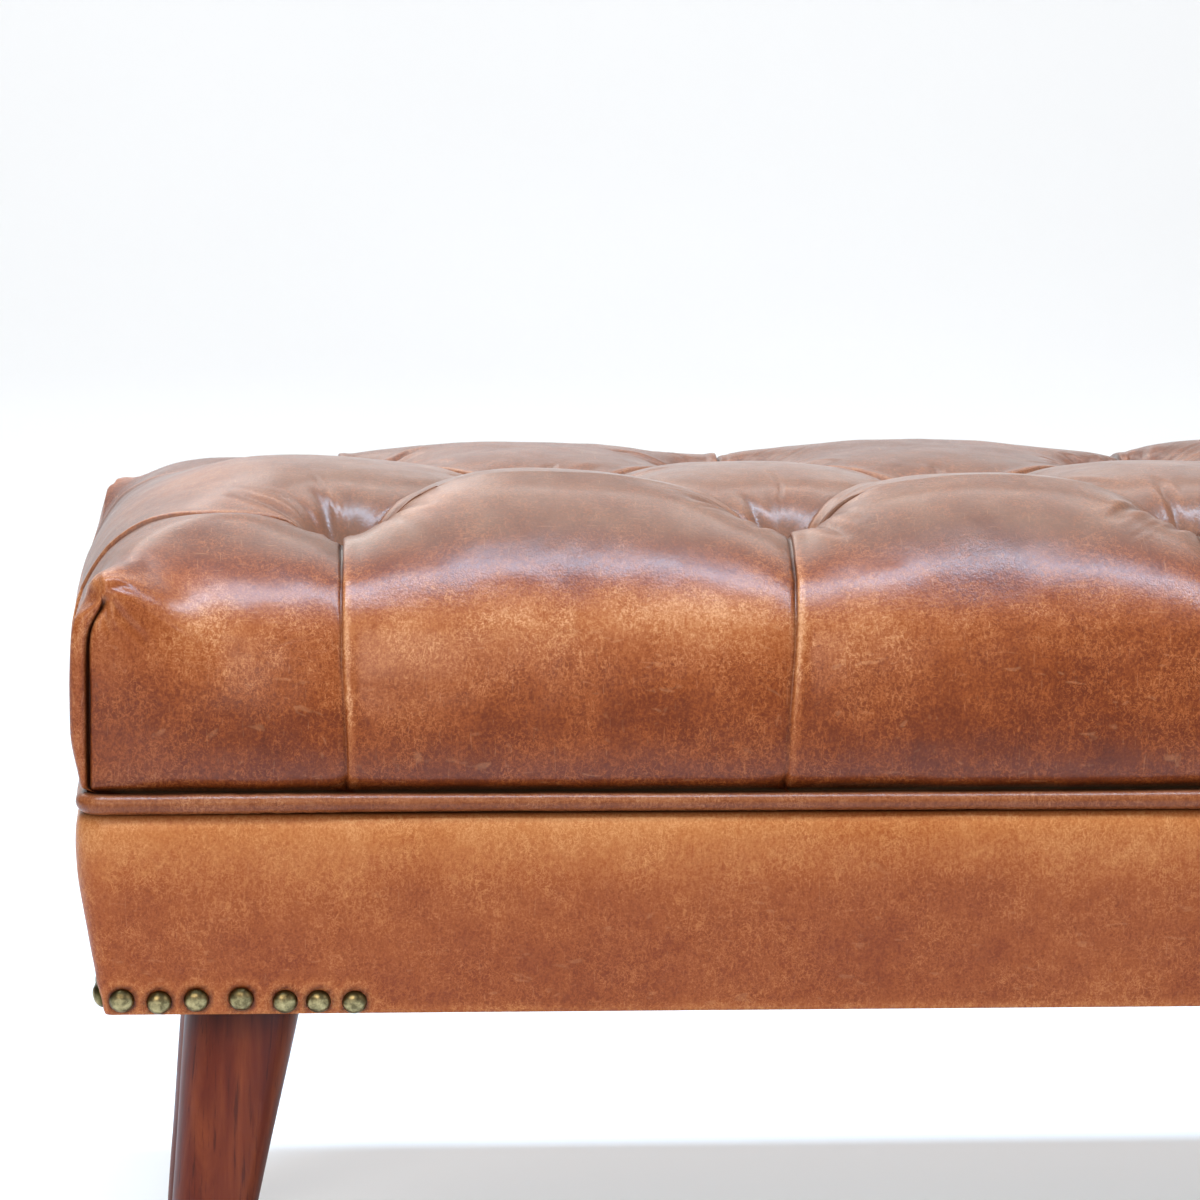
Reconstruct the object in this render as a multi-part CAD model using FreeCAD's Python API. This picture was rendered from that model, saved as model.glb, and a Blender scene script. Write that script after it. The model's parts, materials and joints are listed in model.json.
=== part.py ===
import FreeCAD, Part
import math
import os

# Upholstered bench with a deep-tufted leather seat, a padded box frame and
# four splayed, tapered legs.
# Millimetres. Origin: on the floor, under the centre of the bench.
# +X along the bench, front face towards -Y, +Z up.

V = FreeCAD.Vector

# ---------------------------------------------------------------- dimensions
HALF_LENGTH = 550.0        # half of the box frame's length at its bottom edge
HALF_DEPTH = 200.0         # half of the box frame's depth at its bottom edge
BAND_BOTTOM = 200.0        # bottom edge of the leather band
BAND_TOP = 299.5           # top edge of the leather band
# outer face of the band from its bottom edge up, as (v, z): v is the distance in
# from the frame's nominal line, so the padded band stands out towards its top
BAND_FACE = ((5.0, 200.0), (-1.0, 222.0), (-6.0, 250.0), (-9.0, 280.0), (-8.0, 299.5))
LEATHER = 2.0              # leather with its backing
RETURN_V = 34.0            # how far in the leather is turned under the rails

RAIL_OUT = 9.0             # outer face of the rails, in from the nominal line
RAIL_THICK = 26.0
RAIL_BOTTOM = 202.0
RAIL_TOP = 290.0
CROSS_RAIL_X = 160.0

DECK_IN = 7.0              # deck edge, in from the band's bottom edge
DECK_TOP = 304.0

PIPING_Z = 305.0
PIPING_V = -3.5
PIPING_R = 5.4
PIPING_CORE_R = 3.7

SEAT_BOTTOM = 310.5        # foot of the cushion's faces, on the piping
SEAT_TOP = 450.0           # crest of the cushion
WADDING = 6.0

TUFT_OUTER_X = (-428.0, -214.0, 0.0, 214.0, 428.0)
TUFT_MIDDLE_X = (-321.0, -107.0, 107.0, 321.0)
TUFT_ROW_Y = 105.0
TUFT_SEAT_Z = 388.0        # leather at the bottom of each hollow
TUFT_R = 15.0
BUTTON_R = 11.0
TWINE_R = 1.1

LEG_X = 477.0              # leg axis where it meets the frame
LEG_Y = 130.0
LEG_SPLAY_X = 8.2          # degrees, outwards along the bench
LEG_SPLAY_Y = 6.0          # degrees, outwards across the bench
LEG_TOP_R = 29.0
LEG_FOOT_R = 14.6
LEG_TOP_Z = 196.5
GLIDE_THICK = 3.0
GLIDE_R = 11.0

PLATE_SIZE = 76.0
PLATE_THICK = 2.5
PLATE_SCREW = 30.0
HANGER_R = 4.0

NAIL_R = 6.2
NAIL_HEIGHT = 4.3
NAIL_SHANK_R = 1.0
# distance of each nail from its corner, and its height above the band's edge
NAIL_FROM_CORNER = (12.7, 30.7, 48.6, 70.2, 91.5, 107.7, 125.2)
NAIL_UP = (7.3, 6.3, 7.3, 7.8, 6.3, 6.3, 5.8)
NAIL_JITTER = (0.0, 1.1, -0.8, 0.6, -1.2, 0.9, -0.5)

DUST_BOTTOM = 199.0
DUST_THICK = 1.0

os.makedirs("parts", exist_ok=True)
nodes = {}


# ------------------------------------------------------------------- helpers
def box(x0, x1, y0, y1, z0, z1):
    return Part.makeBox(x1 - x0, y1 - y0, z1 - z0, V(x0, y0, z0))


def cyl(r, p, q):
    d = q.sub(p)
    return Part.makeCylinder(r, d.Length, p, d)


def prism(points, height, z0):
    wire = Part.makePolygon([V(x, y, z0) for x, y in points] + [V(points[0][0], points[0][1], z0)])
    return Part.Face(wire).extrude(V(0, 0, height))


def group(shapes):
    return Part.makeCompound(shapes)


def cut_all(shape, tools):
    out = shape
    if tools:
        out = shape.cut(tools)
    solids = out.Solids
    return solids[0] if len(solids) == 1 else Part.makeCompound(solids)


# The four sides: front and rear run along X, left and right run along Y.
# A side's section is given as (v, z): v is the distance in from the line of
# the band's bottom edge, so a negative v stands outside it.
SIDES = ("front", "rear", "left", "right")


def side_point(side, v, z, along):
    if side == "front":
        return V(along, -(HALF_DEPTH - v), z)
    if side == "rear":
        return V(along, HALF_DEPTH - v, z)
    if side == "left":
        return V(-(HALF_LENGTH - v), along, z)
    return V(HALF_LENGTH - v, along, z)


def side_vector(side, length):
    return V(length, 0, 0) if side in ("front", "rear") else V(0, length, 0)


def mitre(side):
    i, o = 60.0, -40.0
    li, di = HALF_LENGTH - i, HALF_DEPTH - i
    lo, do = HALF_LENGTH - o, HALF_DEPTH - o
    plans = {
        "front": [(-lo, -do), (lo, -do), (li, -di), (-li, -di)],
        "rear": [(-lo, do), (-li, di), (li, di), (lo, do)],
        "left": [(-lo, -do), (-li, -di), (-li, di), (-lo, do)],
        "right": [(lo, -do), (lo, do), (li, di), (li, -di)],
    }
    return prism(plans[side], 400.0, 150.0)


def side_run(side, face):
    """A section face, drawn at along=-700, run along its side and mitred."""
    return face.extrude(side_vector(side, 1400.0)).common(mitre(side)).Solids[0]


def side_polygon(side, pts):
    ps = [side_point(side, v, z, -700.0) for v, z in pts]
    return Part.Face(Part.makePolygon(ps + [ps[0]]))


# --------------------------------------------------------------------- rails
lx, ly = HALF_LENGTH - RAIL_OUT, HALF_DEPTH - RAIL_OUT
ix, iy = lx - RAIL_THICK, ly - RAIL_THICK

front_rail = box(-lx, lx, -ly, -iy, RAIL_BOTTOM, RAIL_TOP)
rear_rail = box(-lx, lx, iy, ly, RAIL_BOTTOM, RAIL_TOP)
left_end_rail = box(-lx, -ix, -iy, iy, RAIL_BOTTOM, RAIL_TOP)
right_end_rail = box(ix, lx, -iy, iy, RAIL_BOTTOM, RAIL_TOP)
cross = {
    "left_cross_rail": box(-CROSS_RAIL_X - 13, -CROSS_RAIL_X + 13, -iy, iy, RAIL_BOTTOM, RAIL_TOP),
    "right_cross_rail": box(CROSS_RAIL_X - 13, CROSS_RAIL_X + 13, -iy, iy, RAIL_BOTTOM, RAIL_TOP),
}

# glued dowels: two at each corner and two at each end of the cross rails
dowels = []
for sy in (-1, 1):
    for x in (-lx + 13, lx - 13, -CROSS_RAIL_X, CROSS_RAIL_X):
        for z in (226.0, 264.0):
            dowels.append(cyl(5.0, V(x, sy * (iy - 24), z), V(x, sy * (ly - 6), z)))

# corner blocks, standing on the dust cover in the four corners
BLOCK_TOP = 240.0
blocks = {}
block_screws = []
block_bores = []
for name, sx, sy in (("front_left", -1, -1), ("front_right", 1, -1),
                     ("rear_left", -1, 1), ("rear_right", 1, 1)):
    plan = [(ix, iy), (ix - 130, iy), (ix - 130, iy - 50), (ix - 50, iy - 130), (ix, iy - 130)]
    pts = [(sx * x, sy * y) for x, y in plan]
    blocks[name] = prism(pts, BLOCK_TOP - BAND_BOTTOM, BAND_BOTTOM)
    for z in (212.0, 229.0):
        # into the long rail
        x = sx * (ix - 118)
        block_screws.append(cyl(2.0, V(x, sy * (iy - 30), z), V(x, sy * (iy + 18), z))
                            .fuse(cyl(4.2, V(x, sy * (iy - 33), z), V(x, sy * (iy - 30), z))))
        block_bores.append(cyl(4.8, V(x, sy * (iy - 80), z), V(x, sy * (iy - 30), z)))
        # into the end rail
        y = sy * (iy - 118)
        block_screws.append(cyl(2.0, V(sx * (ix - 30), y, z), V(sx * (ix + 18), y, z))
                            .fuse(cyl(4.2, V(sx * (ix - 33), y, z), V(sx * (ix - 30), y, z))))
        block_bores.append(cyl(4.8, V(sx * (ix - 80), y, z), V(sx * (ix - 30), y, z)))

# ---------------------------------------------------------------------- legs
tx, ty = math.tan(math.radians(LEG_SPLAY_X)), math.tan(math.radians(LEG_SPLAY_Y))
legs, plates, hangers, plate_screws, glides = {}, {}, [], [], []
for name, sx, sy in (("front_left", -1, -1), ("front_right", 1, -1),
                     ("rear_left", -1, 1), ("rear_right", 1, 1)):
    down = V(sx * tx, sy * ty, -1.0)
    down.normalize()
    top = V(sx * LEG_X, sy * LEG_Y, BAND_BOTTOM)
    reach = BAND_BOTTOM / -down.z
    taper = (LEG_TOP_R - LEG_FOOT_R) / reach
    start = top.sub(V(down.x * 20, down.y * 20, down.z * 20))
    cone = Part.makeCone(LEG_TOP_R + taper * 20, LEG_FOOT_R - taper * 20, reach + 40, start, down)
    slab = box(-900, 900, -900, 900, GLIDE_THICK, LEG_TOP_Z)
    leg = cone.common(slab)
    # hanger bolt along the leg's axis, half in the leg and half in the block
    mid = top.add(V(down.x * 2, down.y * 2, down.z * 2))
    hanger = cyl(HANGER_R, mid.sub(V(down.x * 26, down.y * 26, down.z * 26)),
                 mid.add(V(down.x * 36, down.y * 36, down.z * 36)))
    hangers.append(hanger)
    # steel plate under the dust cover, with four screws up into the block
    h = PLATE_SIZE / 2
    plate = box(top.x - h, top.x + h, top.y - h, top.y + h,
                DUST_BOTTOM - PLATE_THICK, DUST_BOTTOM)
    vertical = [e for e in plate.Edges
                if abs(e.Vertexes[0].X - e.Vertexes[1].X) < 1e-6
                and abs(e.Vertexes[0].Y - e.Vertexes[1].Y) < 1e-6]
    plate = plate.makeFillet(9.0, vertical)
    screws = []
    for dx in (-PLATE_SCREW, PLATE_SCREW):
        for dy in (-PLATE_SCREW, PLATE_SCREW):
            x, y, z = top.x + dx, top.y + dy, DUST_BOTTOM - PLATE_THICK
            head = Part.makeSphere(6.0, V(x, y, z + 3.6)).common(
                box(x - 7, x + 7, y - 7, y + 7, z - 2.4, z))
            screws.append(cyl(2.1, V(x, y, z), V(x, y, z + 26)).fuse(head))
    plates[name] = cut_all(plate, [hanger] + screws)
    plate_screws += screws
    leg = cut_all(leg, [hanger])
    # nylon glide under the foot, with its nail up into the leg
    f = top.add(V(down.x * reach, down.y * reach, down.z * reach))
    glide = cyl(GLIDE_R, V(f.x, f.y, 0), V(f.x, f.y, GLIDE_THICK))
    glide = glide.makeFillet(0.8, [e for e in glide.Edges
                                   if e.Curve.TypeId == "Part::GeomCircle" and e.Vertexes[0].Z < 0.1])
    pin = cyl(1.3, V(f.x, f.y, GLIDE_THICK), V(f.x - sx * 2.0, f.y - sy * 1.5, GLIDE_THICK + 15))
    legs[name] = cut_all(leg, [pin])
    pin_low = cyl(1.3, V(f.x + sx * 0.2, f.y + sy * 0.15, GLIDE_THICK - 1.5),
                  V(f.x - sx * 2.0, f.y - sy * 1.5, GLIDE_THICK + 15))
    glide = glide.fuse(pin_low)
    glides.append(glide)
    legs[name] = cut_all(legs[name], [pin_low])
    foot_xy = (abs(f.x), abs(f.y))

for name in legs:
    nodes[name + "_leg"] = legs[name]
    nodes[name + "_leg_plate"] = plates[name]
nodes["leg_glides"] = group(glides)
nodes["leg_hanger_bolts"] = group(hangers)
nodes["leg_plate_screws"] = group(plate_screws)

# ---------------------------------------------------------------------- deck
dx, dy = HALF_LENGTH - DECK_IN, HALF_DEPTH - DECK_IN
deck = box(-dx, dx, -dy, dy, RAIL_TOP, DECK_TOP)
deck_screws = []
for sy in (-1, 1):
    for x in (-480.0, -300.0, -60.0, 60.0, 300.0, 480.0):
        y = sy * (iy + 13)
        deck_screws.append(cyl(2.0, V(x, y, DECK_TOP - 36), V(x, y, DECK_TOP - 2.4)).fuse(
            Part.makeCone(2.0, 4.2, 2.4, V(x, y, DECK_TOP - 2.4), V(0, 0, 1))))
for sx in (-1, 1):
    for y in (-90.0, 90.0):
        x = sx * (ix + 13)
        deck_screws.append(cyl(2.0, V(x, y, DECK_TOP - 36), V(x, y, DECK_TOP - 2.4)).fuse(
            Part.makeCone(2.0, 4.2, 2.4, V(x, y, DECK_TOP - 2.4), V(0, 0, 1))))

# -------------------------------------------------------- tufts through seat
tufts = [(x, -TUFT_ROW_Y) for x in TUFT_OUTER_X] + [(x, 0.0) for x in TUFT_MIDDLE_X] \
    + [(x, TUFT_ROW_Y) for x in TUFT_OUTER_X]

buttons, twines, anchors = [], [], []
cup_out, cup_in, twine_holes, foam_bores, deck_bores = [], [], [], [], []
for x, y in tufts:
    base = cyl(BUTTON_R, V(x, y, TUFT_SEAT_Z), V(x, y, TUFT_SEAT_Z + 3))
    dome = Part.makeSphere(14.6, V(x, y, TUFT_SEAT_Z - 6.6)).common(
        cyl(BUTTON_R, V(x, y, TUFT_SEAT_Z + 3), V(x, y, TUFT_SEAT_Z + 12)))
    buttons.append(base.fuse(dome).removeSplitter())
    twine = cyl(TWINE_R, V(x, y, RAIL_TOP - 6), V(x, y, TUFT_SEAT_Z))
    knot = Part.makeSphere(3.4, V(x, y, RAIL_TOP - 6))
    twines.append(twine.fuse(knot))
    anchor = cyl(10.0, V(x, y, RAIL_TOP - 3), V(x, y, RAIL_TOP))
    anchors.append(cut_all(anchor, [cyl(1.4, V(x, y, RAIL_TOP - 5), V(x, y, RAIL_TOP + 1)), knot]))
    cup_out.append(cyl(TUFT_R, V(x, y, TUFT_SEAT_Z - LEATHER), V(x, y, SEAT_TOP + 20)))
    cup_in.append(cyl(TUFT_R - LEATHER, V(x, y, TUFT_SEAT_Z), V(x, y, SEAT_TOP + 20)))
    twine_holes.append(cyl(1.6, V(x, y, TUFT_SEAT_Z - 10), V(x, y, TUFT_SEAT_Z + 1)))
    foam_bores.append(cyl(3.5, V(x, y, DECK_TOP - 5), V(x, y, TUFT_SEAT_Z)))
    deck_bores.append(cyl(2.5, V(x, y, RAIL_TOP - 5), V(x, y, DECK_TOP + 1)))

nodes["seat_deck"] = cut_all(deck, deck_bores + deck_screws)
nodes["deck_screws"] = group(deck_screws)
nodes["tufting_buttons"] = group(buttons)
nodes["button_twine"] = group(twines)
nodes["twine_anchors"] = group(anchors)

# ------------------------------------------------------------- seat cushion
# edge profiles of the cushion, as (v, z)
FRONT_EDGE = [(-6.0, SEAT_BOTTOM), (-8.5, 335.0), (-6.0, 366.0), (6.0, 389.0),
              (25.0, 410.0), (60.0, 434.0), (112.0, SEAT_TOP)]
END_EDGE = [(-7.0, SEAT_BOTTOM), (-15.5, 340.0), (-16.5, 376.0), (-8.0, 406.0),
            (8.0, 425.0), (45.0, 441.0), (112.0, SEAT_TOP)]


def offset_edge(pts, d):
    """Points of an edge profile moved in by d, square to the profile."""
    out = []
    n = len(pts)
    for i, (v, z) in enumerate(pts):
        a = pts[max(i - 1, 0)]
        b = pts[min(i + 1, n - 1)]
        if i == n - 1:
            out.append((v, z - d))
            continue
        if i == 0:
            b = pts[1]
            a = pts[0]
        t = (b[0] - a[0], b[1] - a[1])
        length = math.hypot(t[0], t[1])
        out.append((v + d * t[1] / length, z - d * t[0] / length))
    return out


def seat_form(d, foot):
    """The cushion's form moved in by d; foot is its profile below the faces,
    from the face inwards."""
    shapes = []
    for edge, half, along_x in ((FRONT_EDGE, HALF_DEPTH, True), (END_EDGE, HALF_LENGTH, False)):
        pts = offset_edge(edge, d) if d else list(edge)
        pts[0] = (pts[0][0], foot[0][1])

        def at(v, z, s, w=half, ax=along_x):
            return V(-900.0, s * (w - v), z) if ax else V(s * (w - v), -900.0, z)

        left = Part.BSplineCurve()
        left.interpolate([at(v, z, -1) for v, z in pts])
        right = Part.BSplineCurve()
        right.interpolate([at(v, z, 1) for v, z in reversed(pts)])
        edges = [left.toShape(),
                 Part.makeLine(at(pts[-1][0], pts[-1][1], -1), at(pts[-1][0], pts[-1][1], 1)),
                 right.toShape()]
        low = [(pts[0][0], foot[0][1])] + list(foot)
        chain = [at(v, z, 1) for v, z in low] + [at(v, z, -1) for v, z in reversed(low)]
        clean = [chain[0]]
        for p in chain[1:]:
            if p.sub(clean[-1]).Length > 1e-6:
                clean.append(p)
        for a, b in zip(clean[:-1], clean[1:]):
            edges.append(Part.makeLine(a, b))
        wire = Part.Wire(Part.__sortEdges__(edges))
        shapes.append(Part.Face(wire).extrude(V(1800, 0, 0) if along_x else V(0, 1800, 0)))
    return shapes[0].common(shapes[1]).Solids[0]


outer = seat_form(0.0, [(DECK_IN, SEAT_BOTTOM), (DECK_IN, DECK_TOP)])
under_cover = seat_form(LEATHER, [(DECK_IN + LEATHER, SEAT_BOTTOM + LEATHER),
                                  (DECK_IN + LEATHER, DECK_TOP + LEATHER),
                                  (30.0, DECK_TOP + LEATHER), (30.0, DECK_TOP)])
under_wadding = seat_form(LEATHER + WADDING, [(DECK_IN + LEATHER, SEAT_BOTTOM + LEATHER),
                                              (DECK_IN + LEATHER, DECK_TOP + LEATHER),
                                              (30.0, DECK_TOP + LEATHER), (30.0, DECK_TOP)])

shell = outer.cut(under_cover)
funnels = [c.common(outer) for c in cup_out]
cover = shell.fuse(funnels)
cover = cover.cut(cup_in + twine_holes)
nodes["seat_cover"] = cover.Solids[0]
nodes["seat_wadding"] = cut_all(under_cover.cut(under_wadding), cup_out)
nodes["seat_foam"] = cut_all(under_wadding, cup_out + foam_bores)

# ----------------------------------------------------- band, padding, piping
def inset(points, d):
    """A (v, z) polyline moved in by d, square to itself."""
    out = []
    for i, (v, z) in enumerate(points):
        a, b = points[max(i - 1, 0)], points[min(i + 1, len(points) - 1)]
        t = (b[0] - a[0], b[1] - a[1])
        length = math.hypot(t[0], t[1])
        out.append((v + d * t[1] / length, z - d * t[0] / length))
    return out


inner_face = inset(BAND_FACE, LEATHER)
inner_face[0] = (inner_face[0][0], RAIL_BOTTOM)
inner_face[-1] = (inner_face[-1][0], BAND_TOP)
COVER_SECTION = [(RETURN_V, BAND_BOTTOM)] + list(BAND_FACE) + inner_face[::-1] \
    + [(RETURN_V, RAIL_BOTTOM)]
PAD_TOP = BAND_TOP - 0.5
k = (PAD_TOP - inner_face[-2][1]) / (inner_face[-1][1] - inner_face[-2][1])
pad_tip = (inner_face[-2][0] + k * (inner_face[-1][0] - inner_face[-2][0]), PAD_TOP)
PAD_SECTION = [(RAIL_OUT, RAIL_BOTTOM)] + inner_face[:-1] \
    + [pad_tip, (4.0, PAD_TOP), (4.0, RAIL_TOP), (RAIL_OUT, RAIL_TOP)]
FLANGE_SECTION = [(4.0, RAIL_TOP), (DECK_IN, RAIL_TOP), (DECK_IN, PIPING_Z + 2.5),
                  (0.0, PIPING_Z + 2.5), (0.0, PIPING_Z - 2.5), (4.0, PIPING_Z - 2.5)]

band_cover, band_padding, piping, piping_core = {}, {}, {}, {}
for side in SIDES:
    band_cover[side] = side_run(side, side_polygon(side, COVER_SECTION))
    band_padding[side] = side_run(side, side_polygon(side, PAD_SECTION))
    c = side_point(side, PIPING_V, PIPING_Z, -700.0)
    axis = side_vector(side, 1400.0)
    tube = Part.makeCylinder(PIPING_R, 1400.0, c, axis).common(mitre(side))
    core = Part.makeCylinder(PIPING_CORE_R, 1400.0, c, axis).common(mitre(side))
    flange = side_run(side, side_polygon(side, FLANGE_SECTION))
    piping[side] = tube.fuse(flange).cut(core).Solids[0]
    piping_core[side] = core.Solids[0]

# --------------------------------------------------------------- dome nails
nails = {}
shanks = {side: [] for side in SIDES}
NAIL_CLEAR = 0.03
profile_r = (NAIL_R * NAIL_R + NAIL_HEIGHT * NAIL_HEIGHT) / (2 * NAIL_HEIGHT)
(v_low, z_low), (v_up, z_up) = BAND_FACE[0], BAND_FACE[1]
face_run = math.hypot(v_up - v_low, z_up - z_low)
nail_out, nail_down = (z_up - z_low) / face_run, (v_low - v_up) / face_run


def nail(side, along, z):
    """A nail square to the lowest flat of the band's face, and its shank alone."""
    v = v_low + (v_up - v_low) * (z - z_low) / (z_up - z_low)
    on_face = side_point(side, v, z, along)
    out = side_point(side, v - 1.0, z, along).sub(on_face)
    n = V(out.x * nail_out, out.y * nail_out, -nail_down)
    p = on_face.add(V(n.x, n.y, n.z).multiply(NAIL_CLEAR))
    centre = p.add(V(n.x, n.y, n.z).multiply(NAIL_HEIGHT - profile_r))
    dome = Part.makeSphere(profile_r, centre).common(
        Part.makeCylinder(NAIL_R, NAIL_HEIGHT + 2, p, n))
    back = p.add(V(n.x, n.y, n.z).multiply(-16.0))
    shank = Part.makeCylinder(NAIL_SHANK_R, 16.0, back, n)
    return dome.fuse(shank), shank


for k, (name, sx, sy) in enumerate((("front_left", -1, -1), ("front_right", 1, -1),
                                    ("rear_left", -1, 1), ("rear_right", 1, 1))):
    group_nails = []
    for i in range(7):
        jig = NAIL_JITTER[(i + 2 * k) % 7] if k else 0.0
        a = NAIL_FROM_CORNER[i] + jig
        up = NAIL_UP[(i + k) % 7]
        long_side = "front" if sy < 0 else "rear"
        s, t = nail(long_side, sx * (HALF_LENGTH - a), BAND_BOTTOM + up)
        group_nails.append(s)
        shanks[long_side].append(t)
        b = NAIL_FROM_CORNER[i] + NAIL_JITTER[(i + 3 + k) % 7]
        up = NAIL_UP[(i + 3 + k) % 7]
        end_side = "left" if sx < 0 else "right"
        s, t = nail(end_side, sy * (HALF_DEPTH - b), BAND_BOTTOM + up)
        group_nails.append(s)
        shanks[end_side].append(t)
    nodes[name + "_nails"] = group(group_nails)

# ----------------------------------------------------- dust cover and staples
dcx, dcy = HALF_LENGTH - 20.0, HALF_DEPTH - 20.0
dust = box(-dcx, dcx, -dcy, dcy, DUST_BOTTOM, BAND_BOTTOM)
staples = []


def staple(x, y, along_x):
    w, t, up = 5.0, 0.6, 7.0
    if along_x:
        crown = box(x - w, x + w, y - t / 2, y + t / 2, DUST_BOTTOM - t, DUST_BOTTOM)
        legs2 = [box(x - w, x - w + t, y - t / 2, y + t / 2, DUST_BOTTOM, DUST_BOTTOM + up),
                 box(x + w - t, x + w, y - t / 2, y + t / 2, DUST_BOTTOM, DUST_BOTTOM + up)]
    else:
        crown = box(x - t / 2, x + t / 2, y - w, y + w, DUST_BOTTOM - t, DUST_BOTTOM)
        legs2 = [box(x - t / 2, x + t / 2, y - w, y - w + t, DUST_BOTTOM, DUST_BOTTOM + up),
                 box(x - t / 2, x + t / 2, y + w - t, y + w, DUST_BOTTOM, DUST_BOTTOM + up)]
    return crown.fuse(legs2).removeSplitter()


edge_x, edge_y = dcx - 6.0, dcy - 6.0
for i in range(15):
    x = -490.0 + 70.0 * i
    staples.append(staple(x, -edge_y, True))
    staples.append(staple(x, edge_y, True))
for i in range(5):
    y = -120.0 + 60.0 * i
    staples.append(staple(-edge_x, y, False))
    staples.append(staple(edge_x, y, False))

nodes["dust_cover"] = cut_all(dust, hangers + plate_screws + staples)
nodes["dust_cover_staples"] = group(staples)

# -------------------------------------------- holes in what the fixings enter
rail_tools = {
    "front": dowels + block_screws + deck_screws + staples + shanks["front"] + shanks["left"] + shanks["right"],
    "rear": dowels + block_screws + deck_screws + staples + shanks["rear"] + shanks["left"] + shanks["right"],
    "left": dowels + block_screws + deck_screws + staples + shanks["left"],
    "right": dowels + block_screws + deck_screws + staples + shanks["right"],
}


def touching(shape, tools):
    bb = shape.BoundBox
    return [t for t in tools if bb.intersect(t.BoundBox)]


nodes["front_rail"] = cut_all(front_rail, touching(front_rail, rail_tools["front"]))
nodes["rear_rail"] = cut_all(rear_rail, touching(rear_rail, rail_tools["rear"]))
nodes["left_end_rail"] = cut_all(left_end_rail, touching(left_end_rail, rail_tools["left"]))
nodes["right_end_rail"] = cut_all(right_end_rail, touching(right_end_rail, rail_tools["right"]))
for name, rail in cross.items():
    nodes[name] = cut_all(rail, touching(rail, dowels))
for name, block in blocks.items():
    tools = touching(block, hangers + plate_screws + block_screws + block_bores)
    nodes[name + "_corner_block"] = cut_all(block, tools)
nodes["corner_block_screws"] = group(block_screws)
nodes["rail_dowels"] = group(dowels)

for side in SIDES:
    tools = touching(band_cover[side], shanks[side] + staples)
    nodes[side + "_band_cover"] = cut_all(band_cover[side], tools)
    nodes[side + "_band_padding"] = cut_all(band_padding[side],
                                            touching(band_padding[side], shanks[side]))
    nodes[side + "_piping"] = piping[side]
    nodes[side + "_piping_cord"] = piping_core[side]

# --------------------------------------------------------------------- write
total = None
for name in sorted(nodes):
    shape = nodes[name]
    shape.exportStep("parts/%s.step" % name)
    bb = shape.BoundBox
    total = bb if total is None else total.united(bb)
    print("%-26s solids %3d  valid %s  vol %.1f cm3" % (
        name, len(shape.Solids), shape.isValid(), sum(s.Volume for s in shape.Solids) / 1000.0))
print("nodes", len(nodes))
print("foot", foot_xy)
print("box", total.XMin, total.XMax, total.YMin, total.YMax, total.ZMin, total.ZMax)
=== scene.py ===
import json
import math
import bpy
import numpy as np
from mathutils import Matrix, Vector


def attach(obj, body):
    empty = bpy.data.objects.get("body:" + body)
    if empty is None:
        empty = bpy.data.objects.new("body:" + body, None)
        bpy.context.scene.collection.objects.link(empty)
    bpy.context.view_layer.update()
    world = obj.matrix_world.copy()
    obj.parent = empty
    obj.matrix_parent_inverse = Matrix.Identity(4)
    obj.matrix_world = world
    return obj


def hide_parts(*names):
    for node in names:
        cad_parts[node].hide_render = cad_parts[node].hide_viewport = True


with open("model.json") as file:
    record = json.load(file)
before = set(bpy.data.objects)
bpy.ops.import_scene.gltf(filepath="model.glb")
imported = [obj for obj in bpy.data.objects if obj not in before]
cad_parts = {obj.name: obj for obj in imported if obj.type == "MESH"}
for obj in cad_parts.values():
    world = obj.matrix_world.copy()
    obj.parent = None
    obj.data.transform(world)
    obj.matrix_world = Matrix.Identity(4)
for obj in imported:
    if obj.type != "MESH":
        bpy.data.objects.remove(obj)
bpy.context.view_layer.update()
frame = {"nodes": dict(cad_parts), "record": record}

MM = 0.001
rng = np.random.default_rng(11)

# ------------------------------------------------------------------ helpers


def smooth(x):
    x = np.clip(x, 0.0, 1.0)
    return x * x * (3.0 - 2.0 * x)


def spline(points, n=400):
    """Dense smooth curve through 2-D points: returns arc length and points."""
    p = np.array(points, float)
    p = np.vstack([2 * p[0] - p[1], p, 2 * p[-1] - p[-2]])
    out = []
    for i in range(1, len(p) - 2):
        t = np.linspace(0, 1, n // (len(p) - 3) + 2)[:, None]
        a, b, c, d = p[i - 1], p[i], p[i + 1], p[i + 2]
        out.append(0.5 * ((2 * b) + (c - a) * t + (2 * a - 5 * b + 4 * c - d) * t ** 2
                          + (3 * b - a - 3 * c + d) * t ** 3))
    q = np.vstack(out)
    keep = np.concatenate([[True], np.linalg.norm(np.diff(q, axis=0), axis=1) > 1e-9])
    q = q[keep]
    s = np.concatenate([[0], np.cumsum(np.linalg.norm(np.diff(q, axis=0), axis=1))])
    return s, q


def steps(length, first, last, grow, big):
    """Line positions from 0 to length: spacing starts at first, ends at last and is at most big between."""
    a, b = [], []
    ha, hb, left = first, last, length
    while left > 0:
        if sum(a) <= sum(b):
            a.append(ha)
            left -= ha
            ha = min(ha * grow, big)
        else:
            b.append(hb)
            left -= hb
            hb = min(hb * grow, big)
    h = np.array(a + b[::-1])
    h *= length / h.sum()
    return np.concatenate([[0.0], np.cumsum(h)])


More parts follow.
